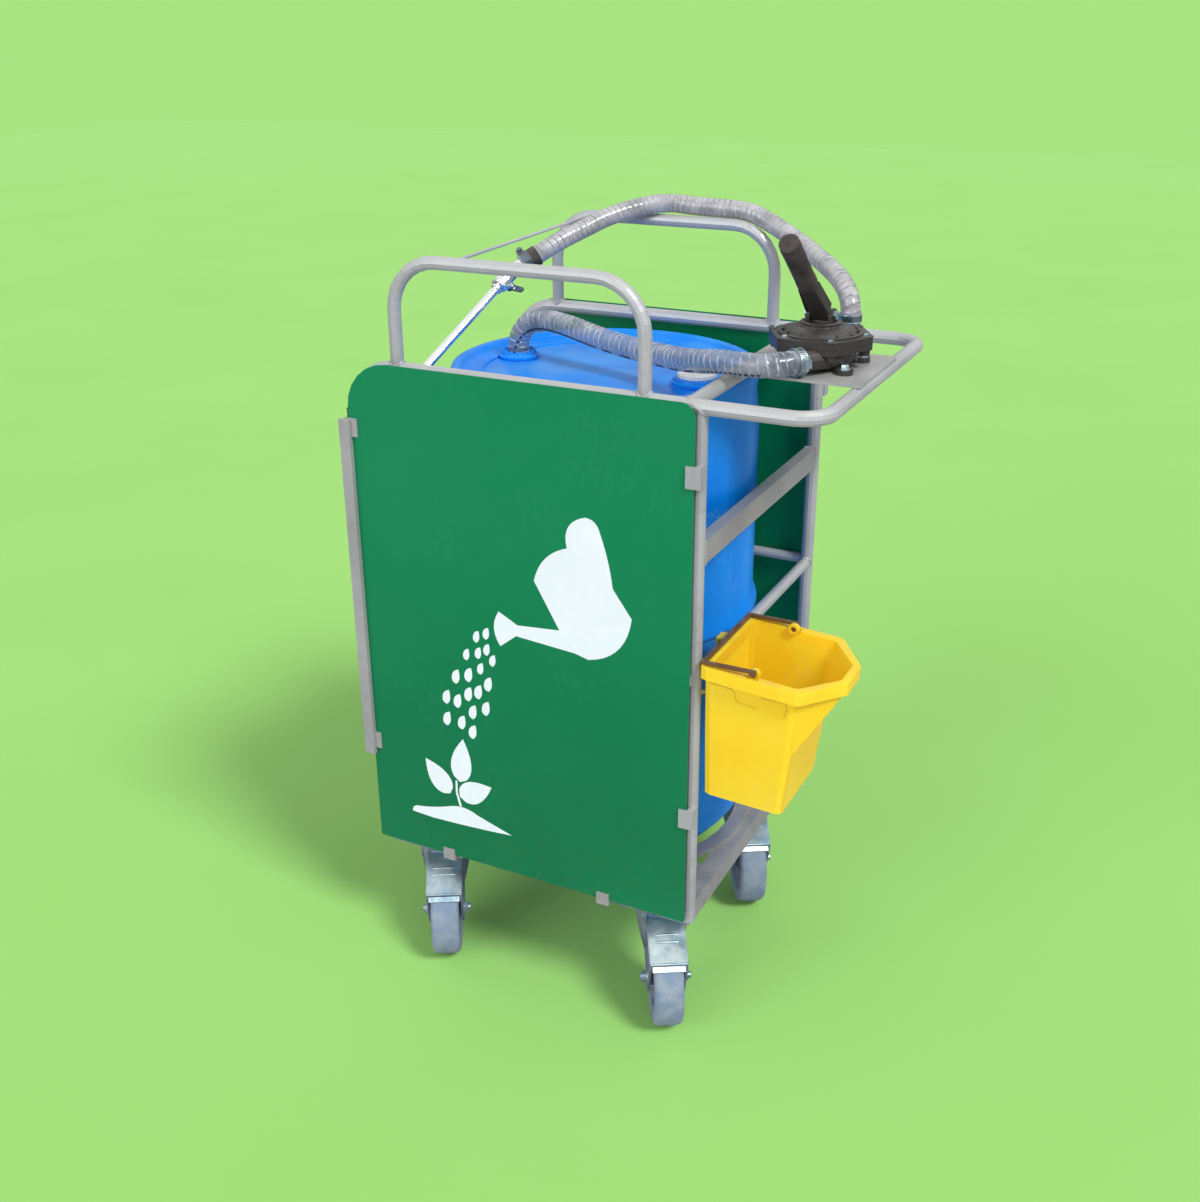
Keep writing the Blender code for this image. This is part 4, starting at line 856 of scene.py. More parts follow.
BUNG_AT = Vector((0.0835, -0.0115, 0))
INLET_AT = Vector((-0.2535, 0.0319, 0))
DRUM_PROFILE = (
    (0.0, 1.0270), (0.2060, 1.0262), (0.2140, 1.0266), (0.2215, 1.0286),
    (0.2262, 1.0312), (0.2290, 1.0352), (0.2316, 1.0388), (0.2350, 1.0402),
    (0.2400, 1.0405), (0.2430, 1.0392), (0.2447, 1.0362), (0.2448, 1.0310),
    (0.2448, 1.0200), (0.2443, 1.0140), (0.2430, 1.0095), (0.2428, 1.0050),
    (0.2437, 0.9970), (0.2452, 0.9840), (0.2470, 0.9690), (0.2480, 0.9570),
    (0.2486, 0.9450), (0.2486, 0.9000), (0.2486, 0.6800), (0.2488, 0.6740),
    (0.2499, 0.6660), (0.2518, 0.6590), (0.2540, 0.6520), (0.2556, 0.6480),
    (0.2560, 0.6450), (0.2558, 0.6425), (0.2540, 0.6400), (0.2510, 0.6375),
    (0.2494, 0.6350), (0.2487, 0.6300), (0.2486, 0.6000), (0.2486, 0.3100),
    (0.2480, 0.3000), (0.2462, 0.2880), (0.2430, 0.2770), (0.2370, 0.2680),
    (0.2290, 0.2590), (0.2200, 0.2480), (0.2120, 0.2406), (0.0, 0.2406),
)
BOSS = (
    (0.0385, 1.0262), (0.0372, 1.0275), (0.0362, 1.0300), (0.0360, 1.0385), (0.0345, 1.0404), (0, 1.0404),
)
COLLAR = (
    (0.0320, 1.0262), (0.0300, 1.0275), (0.0290, 1.0300), (0.0288, 1.0355),
    (0.0276, 1.0369), (0.0190, 1.0370), (0.0187, 1.0275),
)
bm = bmesh.new()
lathe(bm, DRUM_PROFILE[::-1], DRUM_AT, (0, 0, 1), 160)
lathe(bm, BOSS, BUNG_AT, (0, 0, 1), 48)
lathe(bm, COLLAR, INLET_AT, (0, 0, 1), 48)
drum_shell = new_piece("drum_shell", bm, "frame", "drum_plastic", drum_look)
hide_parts("drum")

LUG = ((0, 0.0042), (0.0026, 0.0036), (0.0032, 0.0), (0, 0))
INLET_RING = ((0.0295, -0.0095), (0.0330, -0.0092), (0.0335, -0.0050), (0.0310, -0.0030), (0.0292, -0.0032))
BUNG_RING = ((0.0362, -0.0110), (0.0392, -0.0106), (0.0396, -0.0062), (0.0366, -0.0040))
bm = bmesh.new()
for out in spokes(16):
    lathe(bm, LUG, raised(INLET_AT + out * 0.0255, 1.0368), (0, 0, 1), 10)
lathe(bm, INLET_RING, raised(INLET_AT, 1.037), (0, 0, 1), 36)
lathe(bm, BUNG_RING, raised(BUNG_AT, 1.0405), (0, 0, 1), 36)
new_piece("drum_collars", bm, "frame", "drum_plastic", drum_look)

cap_look, cap_tree, cap_shader = new_look("white cap plastic", tone(234, 236, 236), 0.4)
cap_skin = use(cap_tree, peel_tree, Peel_Size=500.0, Cloud_Size=30.0)
cap_dust = use(cap_tree, dust_tree, Amount=0.5, Patch_Size=40.0)["Mask"]
cap_white = mixed(cap_tree, cap_skin["Cloud"], tone(224, 227, 228), tone(242, 243, 243))
feed_all(cap_shader, Base_Color=mixed(cap_tree, cap_dust, cap_white, tone(190, 190, 182)))
raise_bump(cap_shader, cap_skin["Height"], 0.2, 0.0003)
give(cap_look, "bung_cap")

CAP_RIB = ((0, 0), (0.0011, 0.0), (0.0011, 0.0042), (0, 0.0046))
cap_foot = raised(BUNG_AT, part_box("bung_cap")[0].z + 0.0006)
bm = bmesh.new()
for out in spokes(30):
    lathe(bm, CAP_RIB, cap_foot + out * 0.0294, (0, 0, 1), 6)
new_piece("bung_cap_ribs", bm, "bung_cap", "cap_plastic", cap_look)


# The hand pump is two black castings bolted together round a rubber diaphragm, on four feet that are bolted
# to the plate. A lever with a rubber grip works it, on a bolt between two ears.
cast_look, cast_tree, cast_shader = new_look("black painted casting", tone(46, 44, 42), 0.5, Coat_Weight=0.1)
cast_sand = noise(cast_tree, 620.0, 6.0, 0.7)
cast_pits = put(cast_tree, "TexVoronoi", Vector=on_object(cast_tree), Scale=260.0).outputs["Distance"]
cast_worn = layered(
    cast_tree,
    tone(34, 32, 31),
    (stepped(cast_tree, cast_sand, 0.3, 0.7), tone(62, 60, 57)),
    (use(cast_tree, rub_tree, Fineness=50.0, Amount=0.6)["Mask"], tone(128, 126, 122)),
    (use(cast_tree, dust_tree, Amount=0.4, Patch_Size=32.0)["Mask"], tone(104, 98, 88)),
)
feed_all(cast_shader, Base_Color=cast_worn, Roughness=stepped(cast_tree, cast_sand, 0.3, 0.7, 0.36, 0.6))
cast_relief = calc(cast_tree, "ADD", cast_sand, calc(cast_tree, "MULTIPLY", cast_pits, 0.4))
raise_bump(cast_shader, cast_relief, 0.5, 0.0008)
give(cast_look, "pump_body", "pump_cover", "pump_lever")

rubber_look, rubber_tree, rubber_shader = new_look("black rubber", tone(54, 47, 46), 0.68)
rubber_cloud = noise(rubber_tree, 46.0, 6.0)
rubber_worn = layered(
    rubber_tree,
    tone(46, 40, 40),
    (stepped(rubber_tree, rubber_cloud, 0.35, 0.7), tone(74, 66, 64)),
    (use(rubber_tree, dust_tree, Amount=0.35, Patch_Size=50.0)["Mask"], tone(110, 102, 94)),
)
rubber_rough = stepped(rubber_tree, rubber_cloud, 0.3, 0.7, 0.58, 0.8)
feed_all(rubber_shader, Base_Color=rubber_worn, Roughness=rubber_rough)
raise_bump(rubber_shader, noise(rubber_tree, 900.0, 3.0), 0.4, 0.0005)
give(rubber_look, "lever_grip", "lance_holder")

zinc_tree, zinc_in, zinc_out = new_group(
    "zinc bloom", {"Crystal Size": 90.0}, {"Colour": "Color", "Roughness": "Float", "Height": "Float"}
)
zinc_cell = put(zinc_tree, "TexVoronoi", Vector=on_object(zinc_tree), Scale=zinc_in["Crystal Size"])
zinc_light = put(zinc_tree, "SeparateColor", (zinc_cell.outputs["Color"],)).outputs[0]
zinc_spread = noise(zinc_tree, 22.0, 6.0, 0.6)
zinc_bright = layered(
    zinc_tree,
    tone(150, 186, 204),
    (stepped(zinc_tree, zinc_spread, 0.36, 0.64), tone(188, 204, 208)),
    (stepped(zinc_tree, zinc_light, 0.0, 1.0, 0.0, 0.25), tone(232, 238, 242)),
)
feed(zinc_tree, zinc_out["Colour"], zinc_bright)
feed(zinc_tree, zinc_out["Roughness"], stepped(zinc_tree, zinc_spread, 0.3, 0.7, 0.24, 0.46))
feed(zinc_tree, zinc_out["Height"], calc(zinc_tree, "ADD", zinc_light, zinc_spread))


def make_zinc(name, size, grime_amount):
    """Zinc plate with crystals of a size, rubbed in thin lines, and duller where it is grimy."""
    look, tree, shader = new_look(name, tone(178, 196, 206), 0.32, 0.9)
    bloom = use(tree, zinc_tree, Crystal_Size=size)
    rub = use(tree, rub_tree, Fineness=60.0, Amount=0.5)["Mask"]
    grime = use(tree, grime_tree, Reach=0.3, Amount=grime_amount)["Mask"]
    feed_all(
        shader,
        Base_Color=layered(tree, bloom["Colour"], (rub, tone(120, 124, 128)), (grime, tone(96, 86, 72))),
        Roughness=calc(tree, "ADD", bloom["Roughness"], calc(tree, "MULTIPLY", grime, 0.4)),
        Metallic=calc(tree, "SUBTRACT", 0.9, calc(tree, "MULTIPLY", grime, 0.8)),
    )
    raise_bump(shader, bloom["Height"], 0.12, 0.0004)
    return look


bright_zinc = make_zinc("bright zinc", 220.0, 0.2)
castor_zinc = make_zinc("castor zinc", 70.0, 0.55)
dark_zinc = make_zinc("dull zinc", 260.0, 0.2)
dull_shader = dark_zinc.node_tree.nodes["Principled BSDF"]
dull_colour = dull_shader.inputs["Base Color"].links[0].from_socket
feed_all(dull_shader, Base_Color=mixed(dark_zinc.node_tree, 0.7, dull_colour, tone(70, 74, 82)))
give(bright_zinc, "suction_clamp", "discharge_clamp_pump", "pivot_pin")
give(dark_zinc, "discharge_clamp_lance", "valve_lever")

PUMP_AT = Vector((0.2725, -0.0045, 0))
FLANGE_TOP = 1.126


def hex_bolt(bm, at, axis, radius, height):
    """A washer and a six-sided head with a bevelled top."""
    at, axis = Vector(at), Vector(axis).normalized()
    lathe(bm, ((radius * 1.5, 0.0), (radius * 1.5, 0.0010), (radius * 0.9, 0.0012)), at, axis, 20)
    head = ((radius, 0.0008), (radius, height * 0.8), (radius * 0.86, height), (0, height))
    lathe(bm, head, at, axis, 6)


BOLT_CIRCLE = 0.068
FLANGE_SEAT = FLANGE_TOP - 0.0005
COVER_BOLT = ((0.0040, 0.0), (0.0040, 0.0020), (0.0034, 0.0026), (0, 0.0026))
bm = bmesh.new()
for out in spokes(6):
    lathe(bm, COVER_BOLT, raised(PUMP_AT + out * BOLT_CIRCLE, FLANGE_TOP + 0.0011), (0, 0, 1), 6)
for foot_x in (-0.048, 0.052):
    for foot_y in (-0.042, 0.042):
        hex_bolt(bm, PUMP_AT + Vector((foot_x, foot_y, 1.0857)), (0, 0, 1), 0.0062, 0.0068)
new_piece("pump_bolts", bm, "frame", "zinc", bright_zinc)

DOME = ((0.0620, 0.0), (0.0620, 0.0030), (0.0590, 0.0042), (0.0560, 0.0030), (0.0560, 0.0))
CROWN = ((0.0300, 0.0), (0.0300, 0.0022), (0.0282, 0.0036), (0.0250, 0.0036), (0.0235, 0.0020))
BOLT_PAD = ((0.0112, 0.0), (0.0112, 0.0011), (0.0100, 0.0016), (0, 0.0016))
BOLT_BOSS = ((0, 0.0), (0.0070, 0.0), (0.0078, 0.0088), (0, 0.0088))
bm = bmesh.new()
lathe(bm, DOME, raised(PUMP_AT, FLANGE_SEAT), (0, 0, 1), 40)
lathe(bm, CROWN, raised(PUMP_AT, 1.1392), (0, 0, 1), 32)
for out in spokes(12, 0.5):
    start = raised(PUMP_AT + out * 0.030, 1.1362)
    tube_skin(bm, [start, raised(start + out * 0.028, -0.0080)], 0.0019)
for out in spokes(6):
    lathe(bm, BOLT_PAD, raised(PUMP_AT + out * BOLT_CIRCLE, FLANGE_SEAT), (0, 0, 1), 20)
    lathe(bm, BOLT_BOSS, raised(PUMP_AT + out * BOLT_CIRCLE, 1.0985), (0, 0, 1), 12)
new_piece("pump_ribs", bm, "frame", "black_casting", cast_look)

# The edge of the diaphragm shows as a thin line between the two flanges.
GASKET = ((0.0, 0.0), (0.0655, 0.0), (0.0655, 0.0003), (0.0, 0.0003))
bm = bmesh.new()
lathe(bm, GASKET, raised(PUMP_AT, 1.1147), (0, 0, 1), 36)
new_piece("pump_diaphragm", bm, "frame", "black_rubber", rubber_look)

LEVER_PIVOT = Vector((0.2725, -0.0045, 1.152))
LEVER_END = Vector((0.2695, -0.1525, 1.272))
lever_along = (LEVER_END - LEVER_PIVOT).normalized()
lever_length = (LEVER_END - LEVER_PIVOT).length
lever_across = Vector((1, 0, 0))
lever_across = (lever_across - lever_across.dot(lever_along) * lever_along).normalized()
lever_face = lever_along.cross(lever_across)
lever_face *= math.copysign(1, -lever_face.y)
GRIP_BANDS_AT = (0.089, 0.094, 0.099, 0.175, 0.180, 0.185)
GRIP_BAND = ((0.0139, -0.0016), (0.0147, -0.0009), (0.0147, 0.0009), (0.0139, 0.0016))
END_RING = ((0.0118, -0.001), (0.0118, 0.0004), (0.0108, 0.0007), (0.0098, 0.0004), (0.0098, -0.001))
END_EYE = ((0.0030, -0.001), (0.0030, 0.0006), (0.0020, 0.0006), (0.0018, -0.001))
bm = bmesh.new()
for share in GRIP_BANDS_AT:
    lathe(bm, GRIP_BAND, LEVER_PIVOT + lever_along * share, lever_along, 32)
end_face = LEVER_PIVOT + lever_along * (lever_length + 0.0020)
lathe(bm, END_RING, end_face, lever_along, 32)
lathe(bm, END_EYE, end_face, lever_along, 20)
new_piece("grip_rings", bm, "lever", "black_rubber", rubber_look)
bm = bmesh.new()
for edge in (-1, 1):
    low = LEVER_PIVOT + lever_along * 0.019 + lever_across * edge * 0.0155 + lever_face * 0.0080
    high = LEVER_PIVOT + lever_along * 0.078 + lever_across * edge * 0.0118 + lever_face * 0.0080
    tube_skin(bm, [*dotted((low, high), 8), high], 0.0017, capped=True)
new_piece("lever_ribs", bm, "lever", "black_casting", cast_look)


# Three worm-drive clamps of zinc-plated steel hold the hoses on the stubs. Each is a band with cut slots and
# rolled edges, and a screw that lies across it in a small housing and draws it tight.
CLAMP_WIDTH = 0.012
BAND_OUT = 0.0022
EDGE_THICK = 0.0006
SCREW_RISE = 0.0040
SCREW_COLLAR = ((0.0048, 0.0), (0.0048, 0.0009), (0.0040, 0.0010))
SCREW_HEAD = ((0.0040, 0.0008), (0.0040, 0.0042), (0.0033, 0.0048), (0.0, 0.0048))


def clamp_details(name, route, from_end, hose_radius, screw_towards, look):
    """The slots of a clamp's band, its rolled edges and its screw, set on the CAD band."""
    end = Vector(route[-1 if from_end else 0])
    inner = Vector(route[-2 if from_end else 1])
    along = (inner - end).normalized()
    screw = Vector(screw_towards)
    screw = (screw - screw.dot(along) * along).normalized()
    around = along.cross(screw)
    middle = end + along * (0.003 + CLAMP_WIDTH / 2)
    radius = hose_radius + BAND_OUT
    bm = bmesh.new()
    for offset in (EDGE_THICK - CLAMP_WIDTH / 2, CLAMP_WIDTH / 2 - EDGE_THICK):
        tube_skin(bm, circle(middle + along * offset, screw, around, radius, 48), EDGE_THICK, 6)
    screw_at = middle + screw * (radius + SCREW_RISE)
    thread = [(0.0, 0.0)]
    for turn in range(9):
        thread += [(0.0027, 0.0004 + turn * 0.0010), (0.0023, 0.0009 + turn * 0.0010)]
    lathe(bm, [*thread, (0, 0.0096)], screw_at - around * 0.0095, around, 14)
    lathe(bm, SCREW_COLLAR, screw_at + around * 0.0062, around, 18)
    lathe(bm, SCREW_HEAD, screw_at + around * 0.0062, around, 6)
    new_piece(name + "_screw", bm, "frame", "zinc", look)
    bm = bmesh.new()
    for number in range(4, 33):
        angle = math.tau * number / 36
        out = math.cos(angle) * screw + math.sin(angle) * around
        across = along.cross(out)
        place = middle + out * radius
        half_long, half_wide = along * 0.0042 + across * 0.0010, across * 0.0007
        slot = (half_long + half_wide, half_long - half_wide, -half_long - half_wide, half_wide - half_long)
        bm.faces.new([bm.verts.new(place + corner) for corner in slot])
    new_piece(name + "_slots", bm, "frame", "zinc", dark_zinc)


clamp_details("suction_clamp", SUCTION_ROUTE, True, 0.018, (0.6, -0.8, 0.1), bright_zinc)
clamp_details("discharge_clamp_pump", DISCHARGE_ROUTE, False, 0.0155, (-0.4, 1, 0), bright_zinc)
clamp_details("discharge_clamp_lance", DISCHARGE_ROUTE, True, 0.0155, (-0.8, 0.2, 0.5), dark_zinc)

CUFF = ((0.0160, 0.0170), (0.0166, 0.0175), (0.0168, 0.0300), (0.0160, 0.0306))
hose_end = Vector(DISCHARGE_ROUTE[-1])
end_along = (Vector(DISCHARGE_ROUTE[-2]) - hose_end).normalized()
bm = bmesh.new()
lathe(bm, CUFF, hose_end, end_along, 28)
new_piece("discharge_hose_cuff", bm, "frame", "black_rubber", rubber_look)


hose_line(SUCTION_ROUTE, 0.004)
hose_line(DISCHARGE_ROUTE, 0.004)


# The spray lance is a chromed tube with a plug valve at its top. It rests in a rubber ring clamped to the
# near rear upright, and its hose ends in a dark band.
chrome_look, chrome_tree, chrome_shader = new_look("chromed tube", tone(236, 238, 242), 0.12, 0.95)
chrome_mist = noise(chrome_tree, 70.0, 6.0)
chrome_rub = use(chrome_tree, rub_tree, Fineness=60.0, Amount=0.4)["Mask"]
chrome_bright = mixed(chrome_tree, chrome_mist, tone(226, 230, 236), tone(250, 251, 253))
chrome_rough = stepped(chrome_tree, chrome_mist, 0.35, 0.7, 0.08, 0.26)
chrome_worn = mixed(chrome_tree, chrome_rub, chrome_bright, tone(150, 152, 156))
feed_all(chrome_shader, Base_Color=chrome_worn, Roughness=chrome_rough)
give(chrome_look, "lance")

LANCE_TOP = Vector((-0.2812, 0.0708, 1.1611))
LANCE_DOWN = Vector((-0.2656, -0.7872, -0.5566)).normalized()
LANCE_LENGTH = 0.366
bm = bmesh.new()
for along, radius, length, sides in (
    (-0.0035, 0.0142, 0.0085, 6),
    (0.0350, 0.0140, 0.0075, 6),
    (0.0440, 0.0092, 0.0060, 24),
    (0.2960, 0.0080, 0.0030, 24),
    (0.3300, 0.0080, 0.0030, 24),
    (LANCE_LENGTH - 0.0150, 0.0088, 0.0140, 24),
):
    shape = ((0, 0), (0.9, 0), (1, 0.14), (1, 0.86), (0.9, 1), (0, 1))
    nut = [(radius * across, length * down) for across, down in shape]
    lathe(bm, nut, LANCE_TOP + LANCE_DOWN * along, LANCE_DOWN, sides)
new_piece("lance_fittings", bm, "frame", "chrome", chrome_look)

SPINDLE = -LANCE_DOWN.cross(Vector((0.97, -0.24, 0))).normalized()
bm = bmesh.new()
wing_at = LANCE_TOP + LANCE_DOWN * 0.022 + SPINDLE * 0.0213
hex_bolt(bm, wing_at, SPINDLE, 0.0040, 0.0034)
wing_along = LANCE_DOWN.cross(SPINDLE).normalized()
wing_half = SPINDLE.cross(wing_along) * 0.0034
for part in range(6):
    ridge = wing_at + wing_along * (0.012 + part * 0.003) - SPINDLE * 0.0008
    tube_skin(bm, [ridge - wing_half, ridge + wing_half], 0.0007, 6, capped=True)
new_piece("valve_lever_details", bm, "valve_lever", "zinc", dark_zinc)

HOLDER_RADIUS = 0.0148
holder_at = Vector((REAR_X, RAIL_Y["near"], (LANCE_TOP + LANCE_DOWN * 0.315).z))
bm = bmesh.new()
for height in (-0.0055, 0.0055):
    lip = circle(raised(holder_at, height), Vector((1, 0, 0)), Vector((0, 1, 0)), HOLDER_RADIUS, 40)
    tube_skin(bm, lip, 0.0009, 6)
new_piece("lance_holder_lips", bm, "frame", "black_rubber", rubber_look)
bm = bmesh.new()
hex_bolt(bm, holder_at - Vector((0.0150, 0, 0)), (-1, 0, 0), 0.0028, 0.0026)
new_piece("lance_holder_screw", bm, "frame", "zinc", bright_zinc)


# The bucket is moulded in yellow plastic with a turned-down rim and raised lines on its sides. It hooks over
# the tube between the front uprights, and its dark strip handle lies back along the rim.
yellow_look, yellow_tree, yellow_shader = new_look(
    "yellow bucket plastic",
    tone(255, 214, 44),
    0.4,
    Specular_IOR_Level=0.3,
    Subsurface_Weight=0.35,
    Subsurface_Radius=(0.03, 0.022, 0.006),
    Subsurface_Scale=0.8,
)
yellow_skin = use(yellow_tree, peel_tree, Peel_Size=600.0, Cloud_Size=12.0)
yellow_worn = layered(
    yellow_tree,
    tone(254, 208, 32),
    (stepped(yellow_tree, yellow_skin["Cloud"], 0.3, 0.7), tone(255, 217, 50)),
    (use(yellow_tree, rub_tree, Fineness=36.0, Amount=0.45)["Mask"], tone(226, 206, 140)),
    (use(yellow_tree, dust_tree, Amount=0.3, Patch_Size=22.0)["Mask"], tone(196, 172, 96)),
)
yellow_rough = stepped(yellow_tree, yellow_skin["Cloud"], 0.3, 0.7, 0.3, 0.5)
feed_all(yellow_shader, Base_Color=yellow_worn, Roughness=yellow_rough)
raise_bump(yellow_shader, yellow_skin["Height"], 0.18, 0.0004)
give(yellow_look, "bucket")

bail_look, bail_tree, bail_shader = new_look("dark brown handle", tone(98, 70, 42), 0.5)
bail_skin = use(bail_tree, peel_tree, Peel_Size=500.0, Cloud_Size=40.0)
bail_dust = use(bail_tree, dust_tree, Amount=0.4, Patch_Size=40.0)["Mask"]
bail_brown = mixed(bail_tree, bail_skin["Cloud"], tone(82, 56, 34), tone(118, 86, 52))
feed_all(bail_shader, Base_Color=mixed(bail_tree, bail_dust, bail_brown, tone(140, 122, 100)))
raise_bump(bail_shader, bail_skin["Height"], 0.3, 0.0005)
give(bail_look, "bail")

BUCKET_BACK, BUCKET_MIDDLE = 0.2005, -0.1595
WALL_LIFT = 0.0002
# The bucket's wall at four levels: height at its back, how much that falls forwards, and half of its width.
WALL_LEVELS = ((0.460, 0.050, 0.0800), (0.566, 0.060, 0.0865), (0.650, 0.075, 0.0895), (0.668, 0.0787, 0.0905))


def on_wall(u, z):
    """A point just off the bucket's near side, at a distance from its back and a height."""
    half = WALL_LEVELS[-1][2]
    for (low, low_slope, low_half), (high, high_slope, high_half) in zip(WALL_LEVELS, WALL_LEVELS[1:]):
        low_z, high_z = low - low_slope * u, high - high_slope * u
        if z <= high_z:
            part = max(0, (z - low_z) / (high_z - low_z))
            half = low_half + (high_half - low_half) * part
            break
    return Vector((BUCKET_BACK + u, BUCKET_MIDDLE - half - WALL_LIFT, z))


SIDE_LINES = (
    ((0.012, 0.6545), (0.046, 0.6515), (0.051, 0.647), (0.054, 0.635), (0.060, 0.631), (0.086, 0.628)),
    ((0.094, 0.6465), (0.128, 0.6465), (0.132, 0.642), (0.129, 0.620)),
)
bm = bmesh.new()
for mirrored in (False, True):
    for line in SIDE_LINES:
        points = [on_wall(point.x, point.y) for point in [*dotted(line, 6), Vector(line[-1])]]
        if mirrored:
            points = [Vector((point.x, 2 * BUCKET_MIDDLE - point.y, point.z)) for point in points]
        tube_skin(bm, points, 0.0012, capped=True)
new_piece("bucket_side_lines", bm, "bucket", "bucket_plastic", yellow_look)

BAIL_AT = Vector((0.2805, -0.1595, 0.6815))
LUG_RING = ((0.0086, 0.0), (0.0086, 0.0008), (0.0066, 0.0013), (0.0048, 0.0008), (0.0048, 0.0))
bm = bmesh.new()
for side in (-1, 1):
    lathe(bm, LUG_RING, BAIL_AT + Vector((0, side * 0.0822, 0)), (0, -side, 0), 24)
new_piece("bucket_lug_rings", bm, "bucket", "bucket_plastic", yellow_look)
bm = bmesh.new()
bail_top = BAIL_AT.z + 0.0082
for step in range(11):
    rib_y = BAIL_AT.y - 0.040 + 0.008 * step
    rib = [Vector((0.2022, rib_y, bail_top)), Vector((0.2074, rib_y, bail_top))]
    tube_skin(bm, rib, 0.0007, 6, capped=True)
new_piece("bail_grip_ribs", bm, "bail", "bail_plastic", bail_look)

# A bright sleeve covers the peg that stands between the near front upright and the bucket.
bm = bmesh.new()
peg_start, peg_end = Vector((0.1925, -0.2328, 0.627)), Vector((0.1985, -0.2280, 0.627))
peg = peg_end - peg_start
lathe(bm, ((0, 0), (0.0046, 0), (0.0046, peg.length), (0, peg.length)), peg_start, peg, 16)
new_piece("upright_peg", bm, "frame", "zinc", bright_zinc)


# Each castor is pressed from zinc-plated sheet: a bolted plate, a ball race and a fork with a stiffened web.
# The wheel is a moulded hub with a grey rubber tyre, scuffed and dirty from the floor.
CASTOR_PLACES = {
    "front_near": (0.1122, -0.1755),
    "front_far": (0.1122, 0.2065),
    "rear_near": (-0.3152, -0.1755),
    "rear_far": (-0.3152, 0.2065),
}
give(castor_zinc, *(f"castor_{part}_{place}" for part in ("plate", "fork") for place in CASTOR_PLACES))
give(bright_zinc, *("castor_axle_" + place for place in CASTOR_PLACES))

hub_look, hub_tree, hub_shader = new_look("grey-blue hub plastic", tone(112, 134, 160), 0.5)
hub_skin = use(hub_tree, peel_tree, Peel_Size=300.0, Cloud_Size=40.0)
hub_worn = layered(
    hub_tree,
    tone(100, 122, 150),
    (stepped(hub_tree, hub_skin["Cloud"], 0.3, 0.7), tone(134, 152, 174)),
    (use(hub_tree, rub_tree, Fineness=50.0, Amount=0.7)["Mask"], tone(170, 180, 188)),
    (use(hub_tree, grime_tree, Reach=0.2, Amount=0.8)["Mask"], tone(104, 98, 86)),
)
feed_all(hub_shader, Base_Color=hub_worn)
raise_bump(hub_shader, hub_skin["Height"], 0.3, 0.0005)
give(hub_look, *("castor_hub_" + place for place in CASTOR_PLACES))

tread_look, tread_tree, tread_shader = new_look("grey tyre rubber", tone(138, 158, 166), 0.74)
tread_cloud = noise(tread_tree, 30.0, 8.0, 0.68)
tread_worn = layered(
    tread_tree,
    tone(114, 134, 158),
    (stepped(tread_tree, tread_cloud, 0.36, 0.64), tone(140, 154, 168)),
    (use(tread_tree, rub_tree, Fineness=70.0, Amount=0.8)["Mask"], tone(86, 92, 96)),
    (stepped(tread_tree, tread_cloud, 0.58, 0.74, 0.0, 0.3), tone(134, 130, 122)),
)
tread_rough = stepped(tread_tree, tread_cloud, 0.3, 0.7, 0.62, 0.86)
feed_all(tread_shader, Base_Color=tread_worn, Roughness=tread_rough)
tread_relief = calc(tread_tree, "ADD", noise(tread_tree, 700.0, 4.0), tread_cloud)
raise_bump(tread_shader, tread_relief, 0.35, 0.0008)

TRAIL, AXLE_Z = 0.055, 0.080
WHEEL_RADIUS = 0.080
AHEAD = level(math.radians(-60.2))
ACROSS = Vector((-AHEAD.y, AHEAD.x, 0))
SCRAPER_SLOPE = math.sqrt(0.5)
RACE = ((0.0380, 0.0), (0.0410, 0.0010), (0.0424, 0.0040), (0.0410, 0.0072), (0.0380, 0.0082))
FORK_EDGE = (
    (0.040, 0.1838), (0.109, 0.1463), (0.108, 0.134), (0.075, 0.066),
    (0.055, 0.060), (0.037, 0.066), (-0.010, 0.125), (-0.033, 0.165),
)
AXLE_WASHER = ((0.0128, 0.0), (0.0128, 0.0009), (0.0095, 0.0013))
AXLE_HEAD = ((0.0095, 0.0), (0.0088, 0.0040), (0.0066, 0.0066), (0.0, 0.0076))
HALF_TREAD = (
    (0.0564, 0.0215), (0.0580, 0.0222), (0.0600, 0.0240), (0.0625, 0.0244),
    (0.0640, 0.0240), (0.0655, 0.0244), (0.0715, 0.0243), (0.0745, 0.0234),
    (0.0772, 0.0212), (0.0788, 0.0178), (0.0796, 0.0130), (0.0799, 0.0060),
)


def fork_point(swivel, x, y, z):
    """A place on a castor: ahead of its swivel, across it, and above the floor."""
    return swivel + AHEAD * x + ACROSS * y + Vector((0, 0, z))


def ring_about(bm, middle, radius, thick):
    """A thin ring on a flat face, square to the axle."""
    side = ACROSS.orthogonal().normalized()
    tube_skin(bm, circle(middle, side, ACROSS.cross(side), radius, 64), thick, 6)


def rib_swell(number):
    """A rib across the fork's web is thick in its middle and low at its ends."""
    return min(1, 0.35 + 0.5 * min(number, 10 - number))


def rise_swell(number):
    """The pressed rise up each cheek of the fork fades out at both ends."""
    return min(1, 0.4 + 0.4 * min(number, 6 - number))


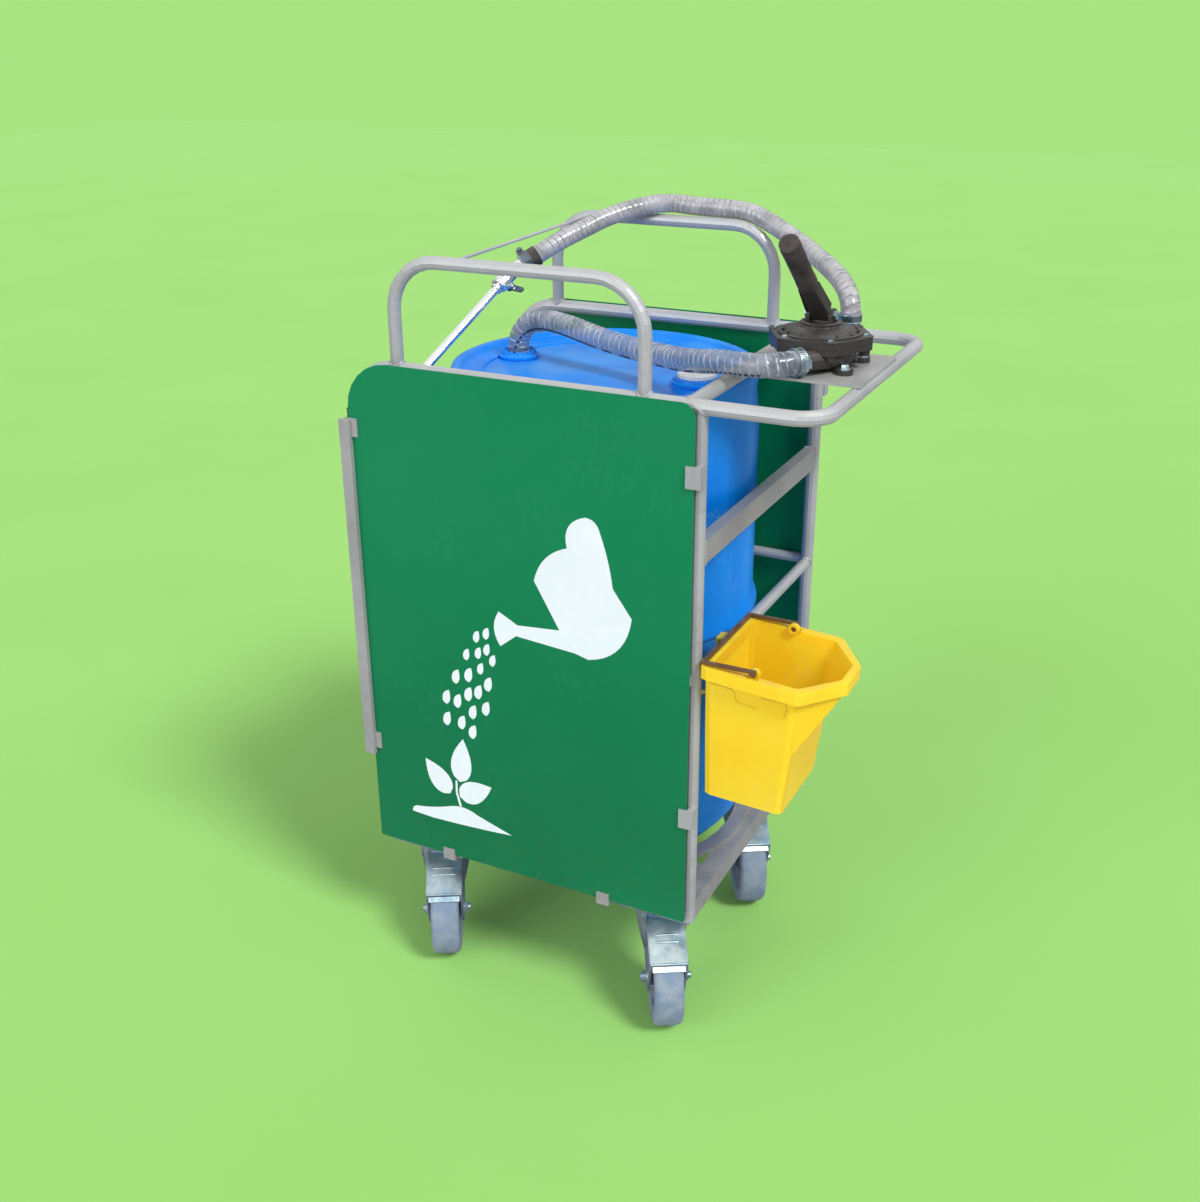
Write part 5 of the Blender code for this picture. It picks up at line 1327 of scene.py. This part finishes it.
for place_name, (swivel_x, swivel_y) in CASTOR_PLACES.items():
    swivel = Vector((swivel_x, swivel_y, 0))
    axle = fork_point(swivel, TRAIL, 0, AXLE_Z)

    bm = bmesh.new()
    for out_x, out_y in ((-0.052, -0.040), (-0.052, 0.040), (0.052, -0.040), (0.052, 0.040)):
        hex_bolt(bm, swivel + Vector((out_x, out_y, 0.2007)), (0, 0, -1), 0.0062, 0.0056)
    new_piece("castor_bolts_" + place_name, bm, "frame", "zinc", bright_zinc)
    bm = bmesh.new()
    lathe(bm, RACE, raised(swivel, 0.1884), (0, 0, 1), 48)
    new_piece("castor_race_" + place_name, bm, "frame", "zinc", castor_zinc)

    bm = bmesh.new()
    for share in (0.38, 0.54):
        rib_x, rib_z = 0.042 + 0.0685 * share, 0.187 - 0.0395 * share
        rib = [fork_point(swivel, rib_x, -0.0195 + 0.0039 * step, rib_z) for step in range(11)]
        tube_skin(bm, rib, 0.0027, 10, True, rib_swell)
    lip = [fork_point(swivel, 0.1105, -0.0298 + 0.00596 * step, 0.1460) for step in range(11)]
    tube_skin(bm, lip, 0.0022, 10, True)
    for cheek in (-1, 1):
        corners = [fork_point(swivel, x, cheek * 0.0302, z) for x, z in FORK_EDGE]
        tube_skin(bm, dotted(corners, 5), 0.0013, capped=True)
        ring_about(bm, axle + ACROSS * cheek * 0.0305, 0.0150, 0.0008)
        foot = fork_point(swivel, 0.055, cheek * 0.0305, 0.104)
        head = fork_point(swivel, 0.077, cheek * 0.0305, 0.136)
        tube_skin(bm, [*dotted((foot, head), 6), head], 0.0022, 8, True, rise_swell)
    new_piece("castor_fork_folds_" + place_name, bm, "castor_" + place_name, "zinc", castor_zinc)
    # A bright scraper strip stands between the cheeks, just off the tyre.
    bm = bmesh.new()
    for end_y in (-0.0268, 0.0268):
        for radius in (0.0818, 0.0832):
            for rise in (-0.0045, 0.0045):
                strip_x = TRAIL + (radius - rise) * SCRAPER_SLOPE
                bm.verts.new(fork_point(swivel, strip_x, end_y, AXLE_Z + (radius + rise) * SCRAPER_SLOPE))
    bmesh.ops.convex_hull(bm, input=bm.verts)
    new_piece("castor_scraper_" + place_name, bm, "castor_" + place_name, "zinc", bright_zinc)
    bm = bmesh.new()
    lathe(bm, AXLE_WASHER, axle - ACROSS * 0.0306, -ACROSS, 28)
    lathe(bm, AXLE_HEAD, axle - ACROSS * 0.0312, -ACROSS, 28)
    lathe(bm, AXLE_WASHER, axle + ACROSS * 0.0306, ACROSS, 28)
    new_piece("castor_axle_washers_" + place_name, bm, "castor_" + place_name, "zinc", bright_zinc)

    bm = bmesh.new()
    for cheek in (-1, 1):
        start = axle + ACROSS * cheek * 0.0165
        for spoke in range(8):
            angle = math.tau * spoke / 8
            out = math.cos(angle) * AHEAD + Vector((0, 0, math.sin(angle)))
            tube_skin(bm, [start + out * (0.0175 + 0.028 * step / 4) for step in range(5)], 0.0016)
        ring_about(bm, axle + ACROSS * cheek * 0.0221, 0.0515, 0.0009)
        ring_about(bm, axle + ACROSS * cheek * 0.0258, 0.0115, 0.0008)
    new_piece("castor_hub_ribs_" + place_name, bm, "wheel_" + place_name, "hub_plastic", hub_look)

    bm = bmesh.new()
    tread = [*HALF_TREAD, (WHEEL_RADIUS, 0.0)]
    tread += [(radius, -offset) for radius, offset in reversed(HALF_TREAD)]
    lathe(bm, [*reversed(tread), tread[-1]], axle, ACROSS, 96)
    tyre = new_piece("castor_tread_" + place_name, bm, "wheel_" + place_name, "tyre", tread_look)
    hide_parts("castor_tyre_" + place_name)


low, high = cad_box
